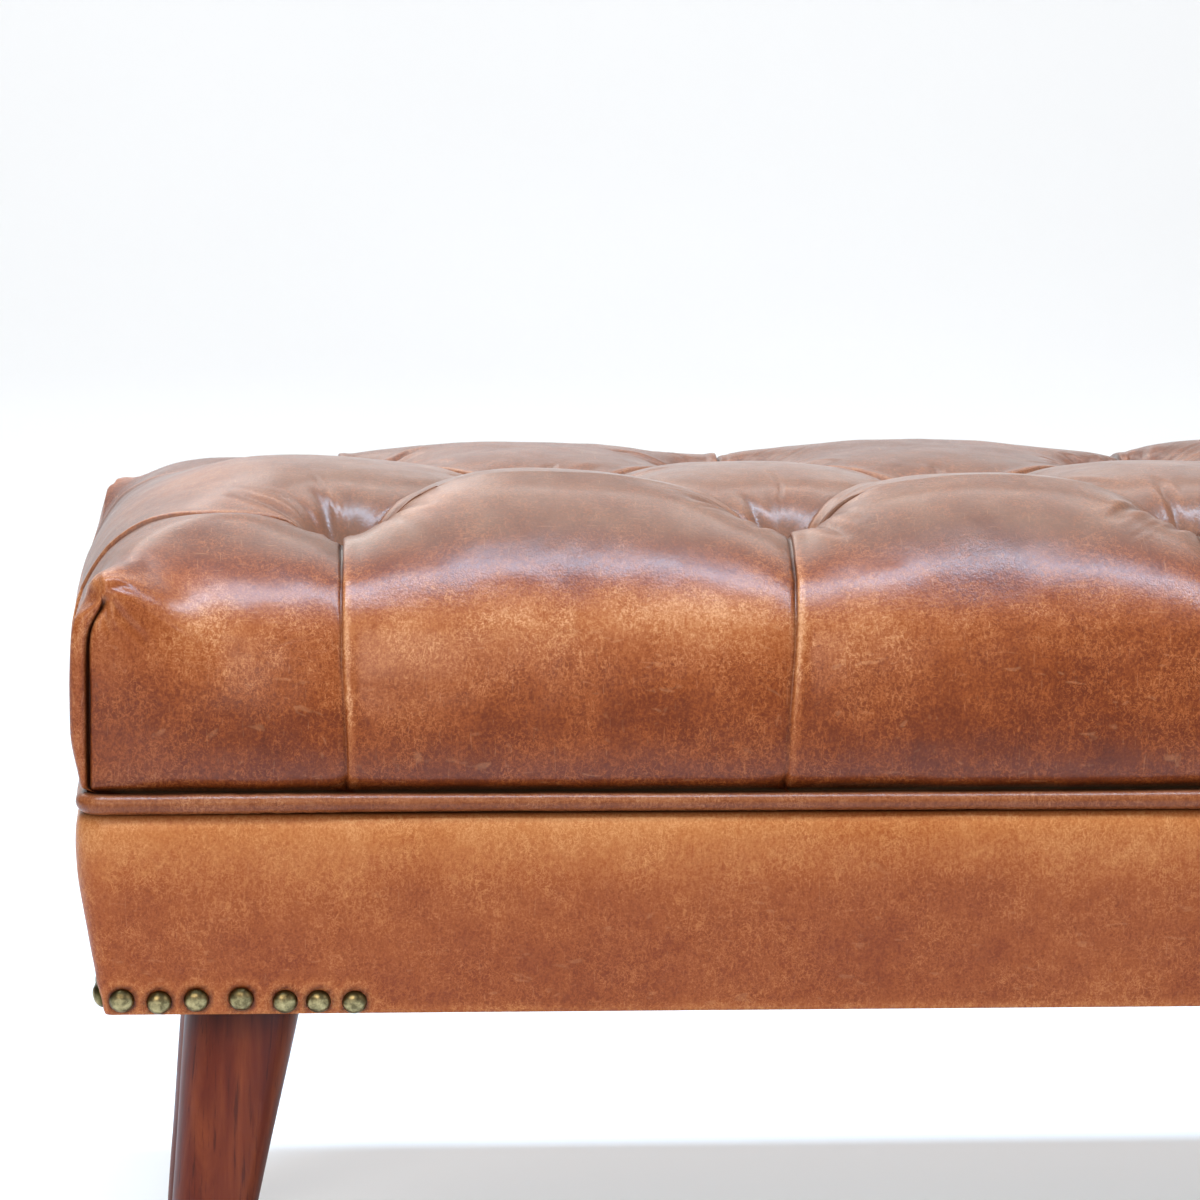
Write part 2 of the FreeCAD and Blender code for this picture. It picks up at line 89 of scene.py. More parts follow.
def value_noise(p, scale, seed):
    """Smooth noise, about -1 to 1, at points p (n, 3) in mm; scale is its wavelength in mm."""
    q = p / scale + seed * 17.31
    i = np.floor(q).astype(np.int64)
    f = q - i
    f = f * f * f * (f * (f * 6 - 15) + 10)
    out = np.zeros(len(p))
    for dx in (0, 1):
        for dy in (0, 1):
            for dz in (0, 1):
                h = ((i[:, 0] + dx) * 374761393 + (i[:, 1] + dy) * 668265263
                     + (i[:, 2] + dz) * 2147483647 + seed * 144665)
                h = (h ^ (h >> 13)) * 1274126177
                h = (h ^ (h >> 16)) & 0xFFFFFF
                v = h / float(0xFFFFFF) * 2 - 1
                w = (f[:, 0] if dx else 1 - f[:, 0]) * (f[:, 1] if dy else 1 - f[:, 1]) \
                    * (f[:, 2] if dz else 1 - f[:, 2])
                out += v * w
    return out


def fbm(p, scale, seed, octaves=3):
    out = np.zeros(len(p))
    a = 1.0
    for k in range(octaves):
        out += a * value_noise(p, scale / 2 ** k, seed + k)
        a *= 0.5
    return out


def new_mesh(name, verts_mm, faces, mat, smooth_shade=True, attributes=None):
    me = bpy.data.meshes.new(name)
    v = np.asarray(verts_mm, float) * MM
    me.vertices.add(len(v))
    me.vertices.foreach_set("co", v.astype(np.float32).ravel())
    if isinstance(faces, np.ndarray):
        n, k = faces.shape
        me.loops.add(n * k)
        me.loops.foreach_set("vertex_index", faces.astype(np.int32).ravel())
        me.polygons.add(n)
        me.polygons.foreach_set("loop_start", np.arange(0, n * k, k, dtype=np.int32))
        me.polygons.foreach_set("loop_total", np.full(n, k, dtype=np.int32))
    else:
        me.clear_geometry()
        me.from_pydata([tuple(x) for x in v], [], faces)
    me.update(calc_edges=True)
    me.validate()
    if smooth_shade:
        me.polygons.foreach_set("use_smooth", np.ones(len(me.polygons), bool))
    for key, val in (attributes or {}).items():
        a = me.attributes.new(key, "FLOAT", "POINT")
        a.data.foreach_set("value", np.asarray(val, np.float32))
    me.materials.append(mat)
    o = bpy.data.objects.new(name, me)
    bpy.context.scene.collection.objects.link(o)
    return o


def set_in(node, **values):
    for k, v in values.items():
        node.inputs[k.replace("_", " ")].default_value = v


class Nodes:
    """Small wrapper for building a material."""

    def __init__(self, name):
        self.mat = bpy.data.materials.new(name)
        self.mat.use_nodes = True
        self.t = self.mat.node_tree
        self.t.nodes.clear()
        self.out = self.t.nodes.new("ShaderNodeOutputMaterial")
        self.bsdf = self.t.nodes.new("ShaderNodeBsdfPrincipled")
        self.t.links.new(self.bsdf.outputs[0], self.out.inputs[0])
        self.coord = self.t.nodes.new("ShaderNodeTexCoord").outputs["Object"]

    def link(self, a, b):
        self.t.links.new(a, b)

    def mapping(self, scale=(1, 1, 1), rot=(0, 0, 0), loc=(0, 0, 0), src=None):
        n = self.t.nodes.new("ShaderNodeMapping")
        n.inputs["Scale"].default_value = scale
        n.inputs["Rotation"].default_value = rot
        n.inputs["Location"].default_value = loc
        self.link(src or self.coord, n.inputs["Vector"])
        return n.outputs[0]

    def noise(self, scale, detail=2.0, rough=0.5, distort=0.0, vec=None, out="Fac"):
        n = self.t.nodes.new("ShaderNodeTexNoise")
        set_in(n, Scale=scale, Detail=detail, Roughness=rough, Distortion=distort)
        self.link(vec or self.coord, n.inputs["Vector"])
        return n.outputs[out]

    def voronoi(self, scale, feature="F1", vec=None, random=1.0, out="Distance"):
        n = self.t.nodes.new("ShaderNodeTexVoronoi")
        n.feature = feature
        n.inputs["Scale"].default_value = scale
        n.inputs["Randomness"].default_value = random
        self.link(vec or self.coord, n.inputs["Vector"])
        return n.outputs[out]

    def ramp(self, fac, stops, interp="LINEAR"):
        n = self.t.nodes.new("ShaderNodeValToRGB")
        cr = n.color_ramp
        cr.interpolation = interp
        while len(cr.elements) < len(stops):
            cr.elements.new(0.5)
        for e, (pos, col) in zip(cr.elements, stops):
            e.position = pos
            e.color = (*col, 1.0) if hasattr(col, "__len__") else (col, col, col, 1.0)
        self.link(fac, n.inputs["Fac"])
        return n.outputs["Color"]

    def mix(self, a, b, fac, blend="MIX", clamp=True):
        n = self.t.nodes.new("ShaderNodeMix")
        n.data_type = "RGBA"
        n.blend_type = blend
        n.clamp_factor = clamp
        for sock, v in ((n.inputs[6], a), (n.inputs[7], b), (n.inputs[0], fac)):
            if isinstance(v, bpy.types.NodeSocket):
                self.link(v, sock)
            elif hasattr(v, "__len__"):
                sock.default_value = (*v, 1.0) if len(v) == 3 else v
            else:
                sock.default_value = v if sock == n.inputs[0] else (v, v, v, 1.0)
        return n.outputs[2]

    def math(self, op, a, b=None, c=None, clamp=False):
        n = self.t.nodes.new("ShaderNodeMath")
        n.operation = op
        n.use_clamp = clamp
        for i, v in enumerate((a, b, c)):
            if v is None:
                continue
            if isinstance(v, bpy.types.NodeSocket):
                self.link(v, n.inputs[i])
            else:
                n.inputs[i].default_value = v
        return n.outputs[0]

    def attr(self, name):
        n = self.t.nodes.new("ShaderNodeAttribute")
        n.attribute_name = name
        return n.outputs["Fac"]

    def warp(self, scale, amount, vec=None):
        """The coordinates, shifted by noise: amount in metres."""
        n = self.noise(scale, 1.0, 0.5, 0.0, vec, out="Color")
        v = self.t.nodes.new("ShaderNodeVectorMath")
        v.operation = "SUBTRACT"
        self.link(n, v.inputs[0])
        v.inputs[1].default_value = (0.5, 0.5, 0.5)
        m = self.t.nodes.new("ShaderNodeVectorMath")
        m.operation = "MULTIPLY_ADD"
        self.link(v.outputs[0], m.inputs[0])
        m.inputs[1].default_value = (amount, amount, amount)
        self.link(vec or self.coord, m.inputs[2])
        return m.outputs[0]

    def bump(self, height, strength, distance, normal=None):
        n = self.t.nodes.new("ShaderNodeBump")
        n.inputs["Strength"].default_value = strength
        n.inputs["Distance"].default_value = distance
        self.link(height, n.inputs["Height"])
        if normal is not None:
            self.link(normal, n.inputs["Normal"])
        return n.outputs[0]

    def base(self, colour, rough, normal=None):
        for v, name in ((colour, "Base Color"), (rough, "Roughness")):
            if isinstance(v, bpy.types.NodeSocket):
                self.link(v, self.bsdf.inputs[name])
            elif hasattr(v, "__len__"):
                self.bsdf.inputs[name].default_value = (*v, 1.0)
            else:
                self.bsdf.inputs[name].default_value = v
        if normal is not None:
            self.link(normal, self.bsdf.inputs["Normal"])


# ---------------------------------------------------------------- materials


def leather(name, deep, dark, mid, warm, light, grain=1.0, mottle=1.0, rough=(0.38, 0.56), seed=0.0, coat=0.8):
    """Pull-up leather: a dark dye over a lighter hide that shows where it is rubbed,
    stretched or scratched. Reads four point attributes: one for painted shade in folds, seam gaps, hollows and at the
    foot;
    one that lightens where the leather is stretched and also paints highlights on fold lips and the piping's top;
    one for lighter or darker parts of the hide that also carries painted highlights and shade; and one for a painted
    grey sheen on the top, standing in for the reflection of the pale surroundings."""
    m = Nodes(name)
    c = m.mapping(loc=(seed, seed * 0.37, seed * 1.9))
    cloud = m.noise(8.5, 3.0, 0.55, 0.5, m.warp(6.0, 0.05, c))
    patch = m.noise(30.0, 4.0, 0.6, 0.5, m.warp(14.0, 0.025, c))
    mott = m.noise(95.0, 4.0, 0.62, 0.4, c)
    # grain, fibres running down the hide, and a crackle of fine lines
    speck = m.noise(760.0, 2.0, 0.6, 0.3, c)
    fib = m.noise(1.0, 3.0, 0.6, 0.6, m.mapping((560.0, 560.0, 170.0), src=m.warp(60.0, 0.004, c)))
    w1 = m.noise(360.0, 4.0, 0.55, 0.6, m.warp(180.0, 0.002, c))
    l1 = m.ramp(m.math("ABSOLUTE", m.math("SUBTRACT", w1, 0.5)), [(0.0, 1.0), (0.034, 0.0)])
    w2 = m.noise(1.0, 3.0, 0.55, 0.7, m.mapping((260.0, 260.0, 150.0), loc=(3.0, 1.0, 7.0), src=c))
    l2 = m.ramp(m.math("ABSOLUTE", m.math("SUBTRACT", w2, 0.5)), [(0.0, 1.0), (0.03, 0.0)])
    where = m.ramp(m.noise(42.0, 3.0, 0.62, 0.3, c), [(0.34, 0.25), (0.64, 1.0)])
    lines = m.math("MULTIPLY", m.math("MAXIMUM", l1, l2), where)
    # lighter where the leather is stretched, and painted highlights on fold lips and the piping's top
    pull_and_highlight = m.attr("pull_and_highlight")
    parts = [(cloud, 0.5, 0.32 * mottle), (patch, 0.5, 0.30 * mottle), (mott, 0.5, 0.20 * mottle),
             # the hide's own lighter and darker parts, plus painted highlights and shade
             (m.attr("tone_and_light"), 0.0, 0.5), (speck, 0.5, 0.40 * grain), (fib, 0.5, 0.26 * grain), (lines, 0.25, 0.30 * grain)]
    t = 0.5
    for (v, mid_v, k) in parts:
        t = m.math("ADD", t, m.math("MULTIPLY", m.math("SUBTRACT", v, mid_v), k))
    t = m.math("ADD", t, m.math("MULTIPLY", pull_and_highlight, m.math("ADD", 0.14, m.math("MULTIPLY", fib, 0.42))))
    col = m.ramp(t, [(0.08, deep), (0.33, dark), (0.5, mid), (0.68, warm), (0.95, light)])
    # a few longer light scratches in three directions
    for k, (rx, ry, rz) in enumerate(((0.3, 1.1, 0.4), (1.3, 0.2, 1.2), (0.2, 0.6, 2.2))):
        s = m.noise(80.0, 2.0, 0.5, 0.4,
                    m.mapping((1.0, 12.0, 1.0) if k != 1 else (12.0, 1.0, 1.2), (rx, ry, rz), (k * 1.7, 0, k), c))
        s = m.ramp(s, [(0.67, 0.0), (0.74, 1.0)])
        col = m.mix(col, light, m.math("MULTIPLY", s, 0.20 * grain))
    # painted grey sheen on the top, standing in for the reflection of the pale surroundings
    col = m.mix(col, (0.30, 0.172, 0.108), m.math("MULTIPLY", m.attr("painted_sheen"), m.math("ADD", 0.12, m.math("MULTIPLY", patch, 0.6))))
    # painted shade, near black, in folds, seam gaps, tuft hollows and at the foot
    col = m.mix(col, (deep[0] * 0.12, deep[1] * 0.12, deep[2] * 0.12), m.math("MULTIPLY", m.attr("crease_shade"), 0.92))
    pores = m.voronoi(820.0, "F1", m.warp(500.0, 0.0008, c))
    h = m.math("ADD", m.math("MULTIPLY", m.noise(470.0, 3.0, 0.65, 0.0, c), 0.8), m.math("MULTIPLY", pores, 0.5))
    h = m.math("SUBTRACT", h, m.math("MULTIPLY", lines, 0.22))
    soft = m.noise(85.0, 3.0, 0.55, 0.4, c)
    n1 = m.bump(soft, 0.22, 0.0008)
    n2 = m.bump(h, 0.42, 0.00045, n1)
    n3 = m.bump(h, 0.13, 0.00045, m.bump(soft, 0.1, 0.0008))      # the wax finish lies smoother than the grain
    ro = m.ramp(m.noise(48.0, 4.0, 0.6, 0.3, c), [(0.3, rough[0]), (0.72, rough[1])])
    m.base(col, ro, n2)
    set_in(m.bsdf, Specular_IOR_Level=0.1, Coat_Weight=coat, Coat_Roughness=0.26, Coat_IOR=1.37)
    m.link(n3, m.bsdf.inputs["Coat Normal"])
    return m.mat


seat_leather = leather("seat_leather", (0.085, 0.014, 0.004), (0.170, 0.031, 0.007), (0.290, 0.063, 0.013),
                       (0.42, 0.122, 0.034), (0.66, 0.29, 0.125))
band_leather = leather("band_leather", (0.15, 0.024, 0.005), (0.25, 0.048, 0.009), (0.36, 0.084, 0.017),
                       (0.48, 0.145, 0.037), (0.64, 0.26, 0.09), mottle=0.9, rough=(0.44, 0.62), seed=2.3, coat=0.4)
piping_leather = leather("piping_leather", (0.085, 0.015, 0.004), (0.145, 0.029, 0.008), (0.23, 0.057, 0.015),
                         (0.33, 0.10, 0.033), (0.48, 0.20, 0.085), mottle=0.7, rough=(0.34, 0.5), seed=5.1, coat=0.6)


def wood(name, dark, mid, light, gloss):
    m = Nodes(name)
    c = m.coord
    grain = m.noise(1.0, 6.0, 0.62, 0.8, m.mapping((52.0, 52.0, 5.5), src=c))
    fine = m.noise(1.0, 4.0, 0.6, 0.2, m.mapping((420.0, 420.0, 22.0), src=c))
    cloud = m.noise(14.0, 3.0, 0.55, 0.5, c)
    col = m.ramp(grain, [(0.33, dark), (0.5, mid), (0.68, light)])
    col = m.mix(col, m.ramp(cloud, [(0.35, dark), (0.65, mid)]), 0.35)
    # painted shadow, where the point attribute asks for it
    col = m.mix(col, (dark[0] * 0.25, dark[1] * 0.3, dark[2] * 0.6), m.attr("shade"))
    pore = m.ramp(fine, [(0.56, 0.0), (0.68, 1.0)])
    col = m.mix(col, (dark[0] * 0.35, dark[1] * 0.3, dark[2] * 0.3), m.math("MULTIPLY", pore, 0.55))
    knot = m.voronoi(9.0, "F1", m.mapping((1.0, 1.0, 0.5), (0, 0, 0), (0.31, 0.12, 0.44), c))
    knot = m.ramp(knot, [(0.0, 1.0), (0.09, 0.0)])
    col = m.mix(col, (dark[0] * 0.3, dark[1] * 0.25, dark[2] * 0.25), m.math("MULTIPLY", knot, 0.8))
    n = m.bump(m.math("ADD", fine, m.math("MULTIPLY", grain, 0.4)), 0.12, 0.0004)
    ro = m.ramp(cloud, [(0.3, gloss), (0.7, gloss + 0.12)])
    m.base(col, ro, n)
    set_in(m.bsdf, Specular_IOR_Level=0.16, Coat_Weight=0.15, Coat_Roughness=0.22)
    return m.mat


leg_wood = wood("leg_wood", (0.070, 0.007, 0.002), (0.155, 0.021, 0.005), (0.30, 0.06, 0.014), 0.4)
frame_wood = wood("frame_wood", (0.36, 0.23, 0.12), (0.52, 0.36, 0.2), (0.64, 0.47, 0.29), 0.6)


def plywood():
    m = Nodes("plywood")
    ply = m.noise(1.0, 3.0, 0.5, 0.0, m.mapping((8.0, 60.0, 500.0)))
    col = m.ramp(ply, [(0.35, (0.42, 0.28, 0.15)), (0.65, (0.62, 0.45, 0.27))])
    m.base(col, m.ramp(ply, [(0.3, 0.6), (0.7, 0.75)]), m.bump(ply, 0.2, 0.0004))
    return m.mat


def metal(name, colour, dark, rough, scale=90.0, rim=False, metallic=1.0):
    m = Nodes(name)
    spots = m.noise(scale, 4.0, 0.6, 0.3)
    fine = m.noise(scale * 9, 2.0, 0.6, 0.0)
    col = m.ramp(spots, [(0.36, dark), (0.6, colour)])
    if rim:
        col = m.mix(col, (dark[0] * 0.4, dark[1] * 0.42, dark[2] * 0.3), m.attr("rim"))
    ro = m.ramp(spots, [(0.3, rough + 0.16), (0.7, rough)])
    m.base(col, ro, m.bump(m.math("ADD", spots, m.math("MULTIPLY", fine, 0.4)), 0.16, 0.0003))
    m.bsdf.inputs["Metallic"].default_value = metallic
    return m.mat


nail_brass = metal("nail_brass", (0.47, 0.36, 0.17), (0.16, 0.12, 0.055), 0.27, 260.0, rim=True)
steel = metal("steel", (0.52, 0.52, 0.54), (0.3, 0.3, 0.32), 0.34, 140.0)


def nylon():
    m = Nodes("glide_nylon")
    n = m.noise(300.0, 3.0)
    m.base(m.ramp(n, [(0.4, (0.03, 0.027, 0.025)), (0.7, (0.07, 0.065, 0.06))]),
           m.ramp(n, [(0.3, 0.45), (0.7, 0.6)]), m.bump(n, 0.15, 0.0003))
    return m.mat


def cloth(name, colour, thread, scale, rough=0.9):
    """Plain weave from two crossed waves in the object's own coordinates."""
    m = Nodes(name)
    waves = []
    for axis in ("X", "Y"):
        w = m.t.nodes.new("ShaderNodeTexWave")
        w.bands_direction = axis
        set_in(w, Scale=scale, Distortion=0.6, Detail=1.0)
        m.link(m.coord, w.inputs["Vector"])
        waves.append(w.outputs["Fac"])
    weave = m.math("MULTIPLY", waves[0], waves[1])
    cloud = m.noise(12.0, 4.0, 0.6)
    col = m.ramp(weave, [(0.1, colour), (0.8, thread)])
    col = m.mix(col, m.mix(col, (0, 0, 0), 0.4), m.ramp(cloud, [(0.4, 0.0), (0.7, 0.6)]))
    m.base(col, m.ramp(cloud, [(0.3, rough), (0.7, rough - 0.1)]), m.bump(weave, 0.4, 0.0006))
    set_in(m.bsdf, Sheen_Weight=0.3, Sheen_Roughness=0.5)
    return m.mat


dust_cloth = cloth("dust_cloth", (0.012, 0.012, 0.013), (0.04, 0.04, 0.042), 260.0)
fibre = cloth("soft_fibre", (0.55, 0.5, 0.4), (0.72, 0.68, 0.58), 300.0)

# ------------------------------------------------------------- the cushion
# Everything here is in millimetres. The leather is one sheet: a top with four
# flaps. Its own coordinates P (along the bench) and Q (across it) run over the
# top and on down the flaps, so distances in P and Q are distances on the leather.
TOP_Z = 452.0
EDGE_X, EDGE_Y = 553.0, 200.0
FOOT_Z = 309.5
COLS = [-428.0, -214.0, 0.0, 214.0, 428.0]
MIDS = [-321.0, -107.0, 107.0, 321.0]
ROW = 105.0

# profiles, as (v, z): v is the distance in from the corner line
END_TOP = [(125, 451.5), (100, 450.5), (80, 448), (60, 444), (42, 438.5), (28, 432.5),
           (17, 425.5), (9, 418.5), (3.5, 411.5), (-1, 404), (-5, 396)]
END_FLAP = [(-5, 396), (-7.8, 386.5), (-9.6, 376), (-10.2, 361), (-10, 344), (-8.6, 328),
            (-5.5, 317.5), (-1, 312), (5, FOOT_Z)]
FRONT_TOP = [(95, 450.5), (75, 445.5), (60, 438.5), (45, 429), (32, 419), (22, 409.5),
             (13, 398.5), (7, 388.5), (3, 378)]
FRONT_FLAP = [(3, 378), (0.3, 369), (-2, 358), (-4, 344), (-4.8, 330), (-4, 320), (-1, 313.5), (5, FOOT_Z)]
# the back is fuller than the front: it stays high until close to the edge
REAR_TOP = [(95, 444), (75, 443.8), (60, 442.3), (45, 439), (35, 435), (25, 429), (16, 421), (9, 411.5),
            (4, 400), (1, 389), (-1, 378)]
REAR_FLAP = [(-1, 378), (-2.5, 366), (-3.6, 352), (-4.6, 338), (-4.6, 328), (-3.6, 320), (-1, 313.5), (5, FOOT_Z)]


def profile(points):
    s, q = spline(points)
    return s[-1], (lambda f, s=s, q=q: (np.interp(f * s[-1], s, q[:, 0]), np.interp(f * s[-1], s, q[:, 1])))


L_END, end_top = profile(END_TOP)
L_ENDF, end_flap = profile(END_FLAP)
L_FRONT, front_top = profile(FRONT_TOP)
L_FRONTF, front_flap = profile(FRONT_FLAP)
L_REAR, rear_top = profile(REAR_TOP)
L_REARF, rear_flap = profile(REAR_FLAP)
FLAP_LEN = 92.0

BIG = 2.45
FIRST = 0.55
half = steps(53.5, FIRST, BIG, 1.13, BIG)
unit = np.concatenate([half, 107.0 - half[-2::-1]]) / 107.0
end_lines = steps(L_END, FIRST, 0.9, 1.13, BIG)
front_lines = steps(L_FRONT, FIRST, 0.9, 1.13, BIG)
rear_lines = steps(L_REAR, FIRST, 0.9, 1.13, BIG)

P = [-428.0]
for k in range(8):
    P += list(-428.0 + 107.0 * (k + unit[1:]))
P = np.array(P)
P = np.concatenate([-428.0 - end_lines[:0:-1], P, 428.0 + end_lines[1:]])
Q = np.concatenate([-ROW + ROW * unit, ROW * unit[1:]])
Q = np.concatenate([-ROW - front_lines[:0:-1], Q, ROW + rear_lines[1:]])
nP, nQ = len(P), len(Q)
n_flap = int(FLAP_LEN / (2.3))
T = np.linspace(0, 1, n_flap + 1)[1:]

sP = np.clip((np.abs(P) - 428.0) / L_END, 0, 1)        # 0 at the tufts, 1 at the edge
sQ = np.clip((np.abs(Q) - ROW) / np.where(Q < 0, L_FRONT, L_REAR), 0, 1)
vP = 125.0 * (1 - sP)
vQ = 95.0 * (1 - sQ)
cP = smooth(1 - vP / 66.0)                             # 1 at the ends' corners
cQ = smooth(1 - vQ / 62.0)


def corner_drop(v, span):
    return np.interp(v, [0, 2, 5, 10, 16, 25, 40, 70, 100, span], [39, 35.3, 32, 28.6, 25.6, 22, 17, 9, 3, 0.0])


X2, Y2 = np.meshgrid(np.sign(P), np.sign(Q), indexing="ij")
sP2, sQ2 = np.meshgrid(sP, sQ, indexing="ij")
cP2, cQ2 = np.meshgrid(cP, cQ, indexing="ij")
P2, Q2 = np.meshgrid(P, Q, indexing="ij")
ve, ze = end_top(sP2)
vf, zf = front_top(sQ2)
vr, zr = rear_top(sQ2)
between = smooth((Q2 + ROW) / (2 * ROW))
vf = np.where(Q2 > 0, vr, vf)
zf = (1 - between) * zf + between * zr
d_end = (1 - cQ2) * (TOP_Z - ze) + cQ2 * corner_drop(125 * (1 - sP2), 125)
d_front = (1 - cP2) * (TOP_Z - zf) + cP2 * corner_drop(95 * (1 - sQ2), 95)
v_end = (1 - cQ2) * ve + cQ2 * 125 * (1 - sP2)
v_front = (1 - cP2) * vf + cP2 * 95 * (1 - sQ2)
drop = (np.abs(d_end) ** 4 + np.abs(d_front) ** 4) ** 0.25
top = np.stack([
    np.where(sP2 > 0, X2 * (EDGE_X - v_end), P2),
    np.where(sQ2 > 0, Y2 * (EDGE_Y - v_front), Q2),
    TOP_Z - drop], -1)

# paths of the leather's edges round the corner seam, seen from above, as
# (distance from the seam, x offset, y offset) in the front left corner's frame
FRONT_LIP = np.array([(0, 1.9, 5.1), (0.8, 0.4, 4.3), (1.8, -0.8, 2.8), (3.0, -1.2, 1.1), (4.5, -1.1, 0.25),
                      (6.5, -0.9, 0.0), (10, -0.4, 0.0), (16, 0, 0)])
END_LIP = np.array([(0, 1.9, 5.1), (1, 1.1, 2.2), (2, 0.1, -0.6), (3.2, -1.5, -3.1), (4.6, -3.5, -4.9),
                    (6, -5.3, -5.3), (7.5, -6.3, -4.9), (9.5, -6.4, -4.1), (16, -4.6, -2.6), (24, -2.2, -1.2),
                    (36, -0.6, 0), (50, 0, 0)])


def flap(side):
    """Rows of a flap from the edge down, (n_flap, n, 3)."""
    if side in ("front", "rear"):
        j = 0 if side == "front" else nQ - 1
        sgn = -1.0 if side == "front" else 1.0
        edge = top[:, j]
        v, z = (front_flap if side == "front" else rear_flap)(T)
        c = cP
        vc = -1.0 * np.sin(math.pi * T)
        vc[-1] = 5.0
        vc[-2] = 2.0
        tau = (378.0 - z) / (378.0 - FOOT_Z)
        V = (1 - c)[None, :] * v[:, None] + c[None, :] * vc[:, None]
        Z = edge[None, :, 2] * (1 - tau[:, None]) + FOOT_Z * tau[:, None]
        X = np.repeat(edge[None, :, 0], n_flap, 0)
        Y = sgn * (EDGE_Y - V)
        near = np.interp(1 - sP, [0, 1], [0, 125.0])
        below = edge[None, :, 2] - Z
        k = smooth(below / 6.0) * smooth((Z - FOOT_Z + 4) / 10.0)
        for s in (-1.0, 1.0):
            m = (np.sign(P) == s)[None, :] * k
            X = X - s * m * np.interp(near, FRONT_LIP[:, 0], FRONT_LIP[:, 1])[None, :]
            Y = Y - sgn * m * np.interp(near, FRONT_LIP[:, 0], FRONT_LIP[:, 2])[None, :]
        return np.stack([X, Y, Z], -1)
    i = 0 if side == "left" else nP - 1
    sgn = -1.0 if side == "left" else 1.0
    edge = top[i]
    v, z = end_flap(T)
    c = cQ
    vc = -1.0 * np.sin(math.pi * T)
    vc[-1] = 5.0
    vc[-2] = 2.0
    tau = (396.0 - z) / (396.0 - FOOT_Z)
    # near the corners both flaps' rows must come down together
    vF, zF = front_flap(T)
    tauF = (378.0 - zF) / (378.0 - FOOT_Z)
    tt = (1 - c)[None, :] * tau[:, None] + c[None, :] * tauF[:, None]
    V = (1 - c)[None, :] * v[:, None] + c[None, :] * vc[:, None]
    Z = edge[None, :, 2] * (1 - tt) + FOOT_Z * tt
    X = sgn * (EDGE_X - V)
    Y = np.repeat(edge[None, :, 1], n_flap, 0)
    near = np.interp(1 - sQ, [0, 1], [0, 95.0])
    below = edge[None, :, 2] - Z
    k = smooth(below / 6.0) * smooth((Z - FOOT_Z + 4) / 10.0)
    out = smooth(below / 16.0) * (0.52 + 0.48 * smooth((Z - FOOT_Z - 1) / 30.0))
    for s in (-1.0, 1.0):
        m = (np.sign(Q) == s)[None, :] * k
        lip = np.interp(near, END_LIP[:, 0], END_LIP[:, 1])[None, :]
        lip = np.where(lip < 0, lip * out / np.maximum(k, 1e-6) * (1.12 if s < 0 else 0.2), lip)
        X = X - sgn * m * lip
        Y = Y - s * m * np.interp(near, END_LIP[:, 0], END_LIP[:, 2])[None, :]
    return np.stack([X, Y, Z], -1)


flaps = {s: flap(s) for s in ("front", "rear", "left", "right")}

# vertex numbers: the top, then each flap's rows; the corner seams are shared
ids = {"top": np.arange(nP * nQ).reshape(nP, nQ)}
count = nP * nQ
coords = [top.reshape(-1, 3)]
lenP = [P2.reshape(-1)]
lenQ = [Q2.reshape(-1)]
for s in ("front", "rear"):
    ids[s] = count + np.arange(n_flap * nP).reshape(n_flap, nP)
    count += n_flap * nP
    coords.append(flaps[s].reshape(-1, 3))
    sg = -1.0 if s == "front" else 1.0
    lenP.append(np.repeat(P[None, :], n_flap, 0).reshape(-1))
    lenQ.append(np.repeat(sg * (ROW + (L_FRONT if s == "front" else L_REAR) + FLAP_LEN * T)[:, None], nP, 1).reshape(-1))
for s in ("left", "right"):
    inner = np.arange(n_flap * (nQ - 2)).reshape(n_flap, nQ - 2) + count
    count += n_flap * (nQ - 2)
    c0 = 0 if s == "left" else nP - 1
    ids[s] = np.concatenate([ids["front"][:, c0:c0 + 1], inner, ids["rear"][:, c0:c0 + 1]], 1)
    coords.append(flaps[s][:, 1:-1].reshape(-1, 3))
    sg = -1.0 if s == "left" else 1.0
    lenP.append(np.repeat(sg * (428.0 + L_END + FLAP_LEN * T)[:, None], nQ - 2, 1).reshape(-1))
    lenQ.append(np.repeat(Q[None, 1:-1], n_flap, 0).reshape(-1))
base = np.concatenate(coords)
cp = np.concatenate(lenP)
cq = np.concatenate(lenQ)
region = np.zeros(count, int)          # 0 top, 1 front, 2 rear, 3 left, 4 right
for k, s in enumerate(("front", "rear", "left", "right")):
    region[ids[s].reshape(-1)] = k + 1


def grid_faces(g, flip=False, slope=None):
    """Triangles of a vertex grid; slope picks each cell's diagonal."""
    a, b, c, d = g[:-1, :-1], g[1:, :-1], g[1:, 1:], g[:-1, 1:]
    t1 = np.stack([a, b, c], -1), np.stack([a, c, d], -1)
    t2 = np.stack([a, b, d], -1), np.stack([b, c, d], -1)
    if slope is None:
        slope = np.zeros(a.shape, bool)
    f1 = np.where(slope[..., None], t2[0], t1[0]).reshape(-1, 3)
    f2 = np.where(slope[..., None], t2[1], t1[1]).reshape(-1, 3)
    f = np.concatenate([f1, f2])
    return f[:, ::-1] if flip else f


# the cells' diagonals follow the pleats between the rows of tufts
pc = 0.5 * (P[1:] + P[:-1])
qc = 0.5 * (Q[1:] + Q[:-1])
pu = (pc + 428.0) / 107.0
even = (np.floor(pu).astype(int) % 2 == 0)[:, None]
inside = (np.abs(qc) < ROW)[None, :]
low = (qc < 0)[None, :]
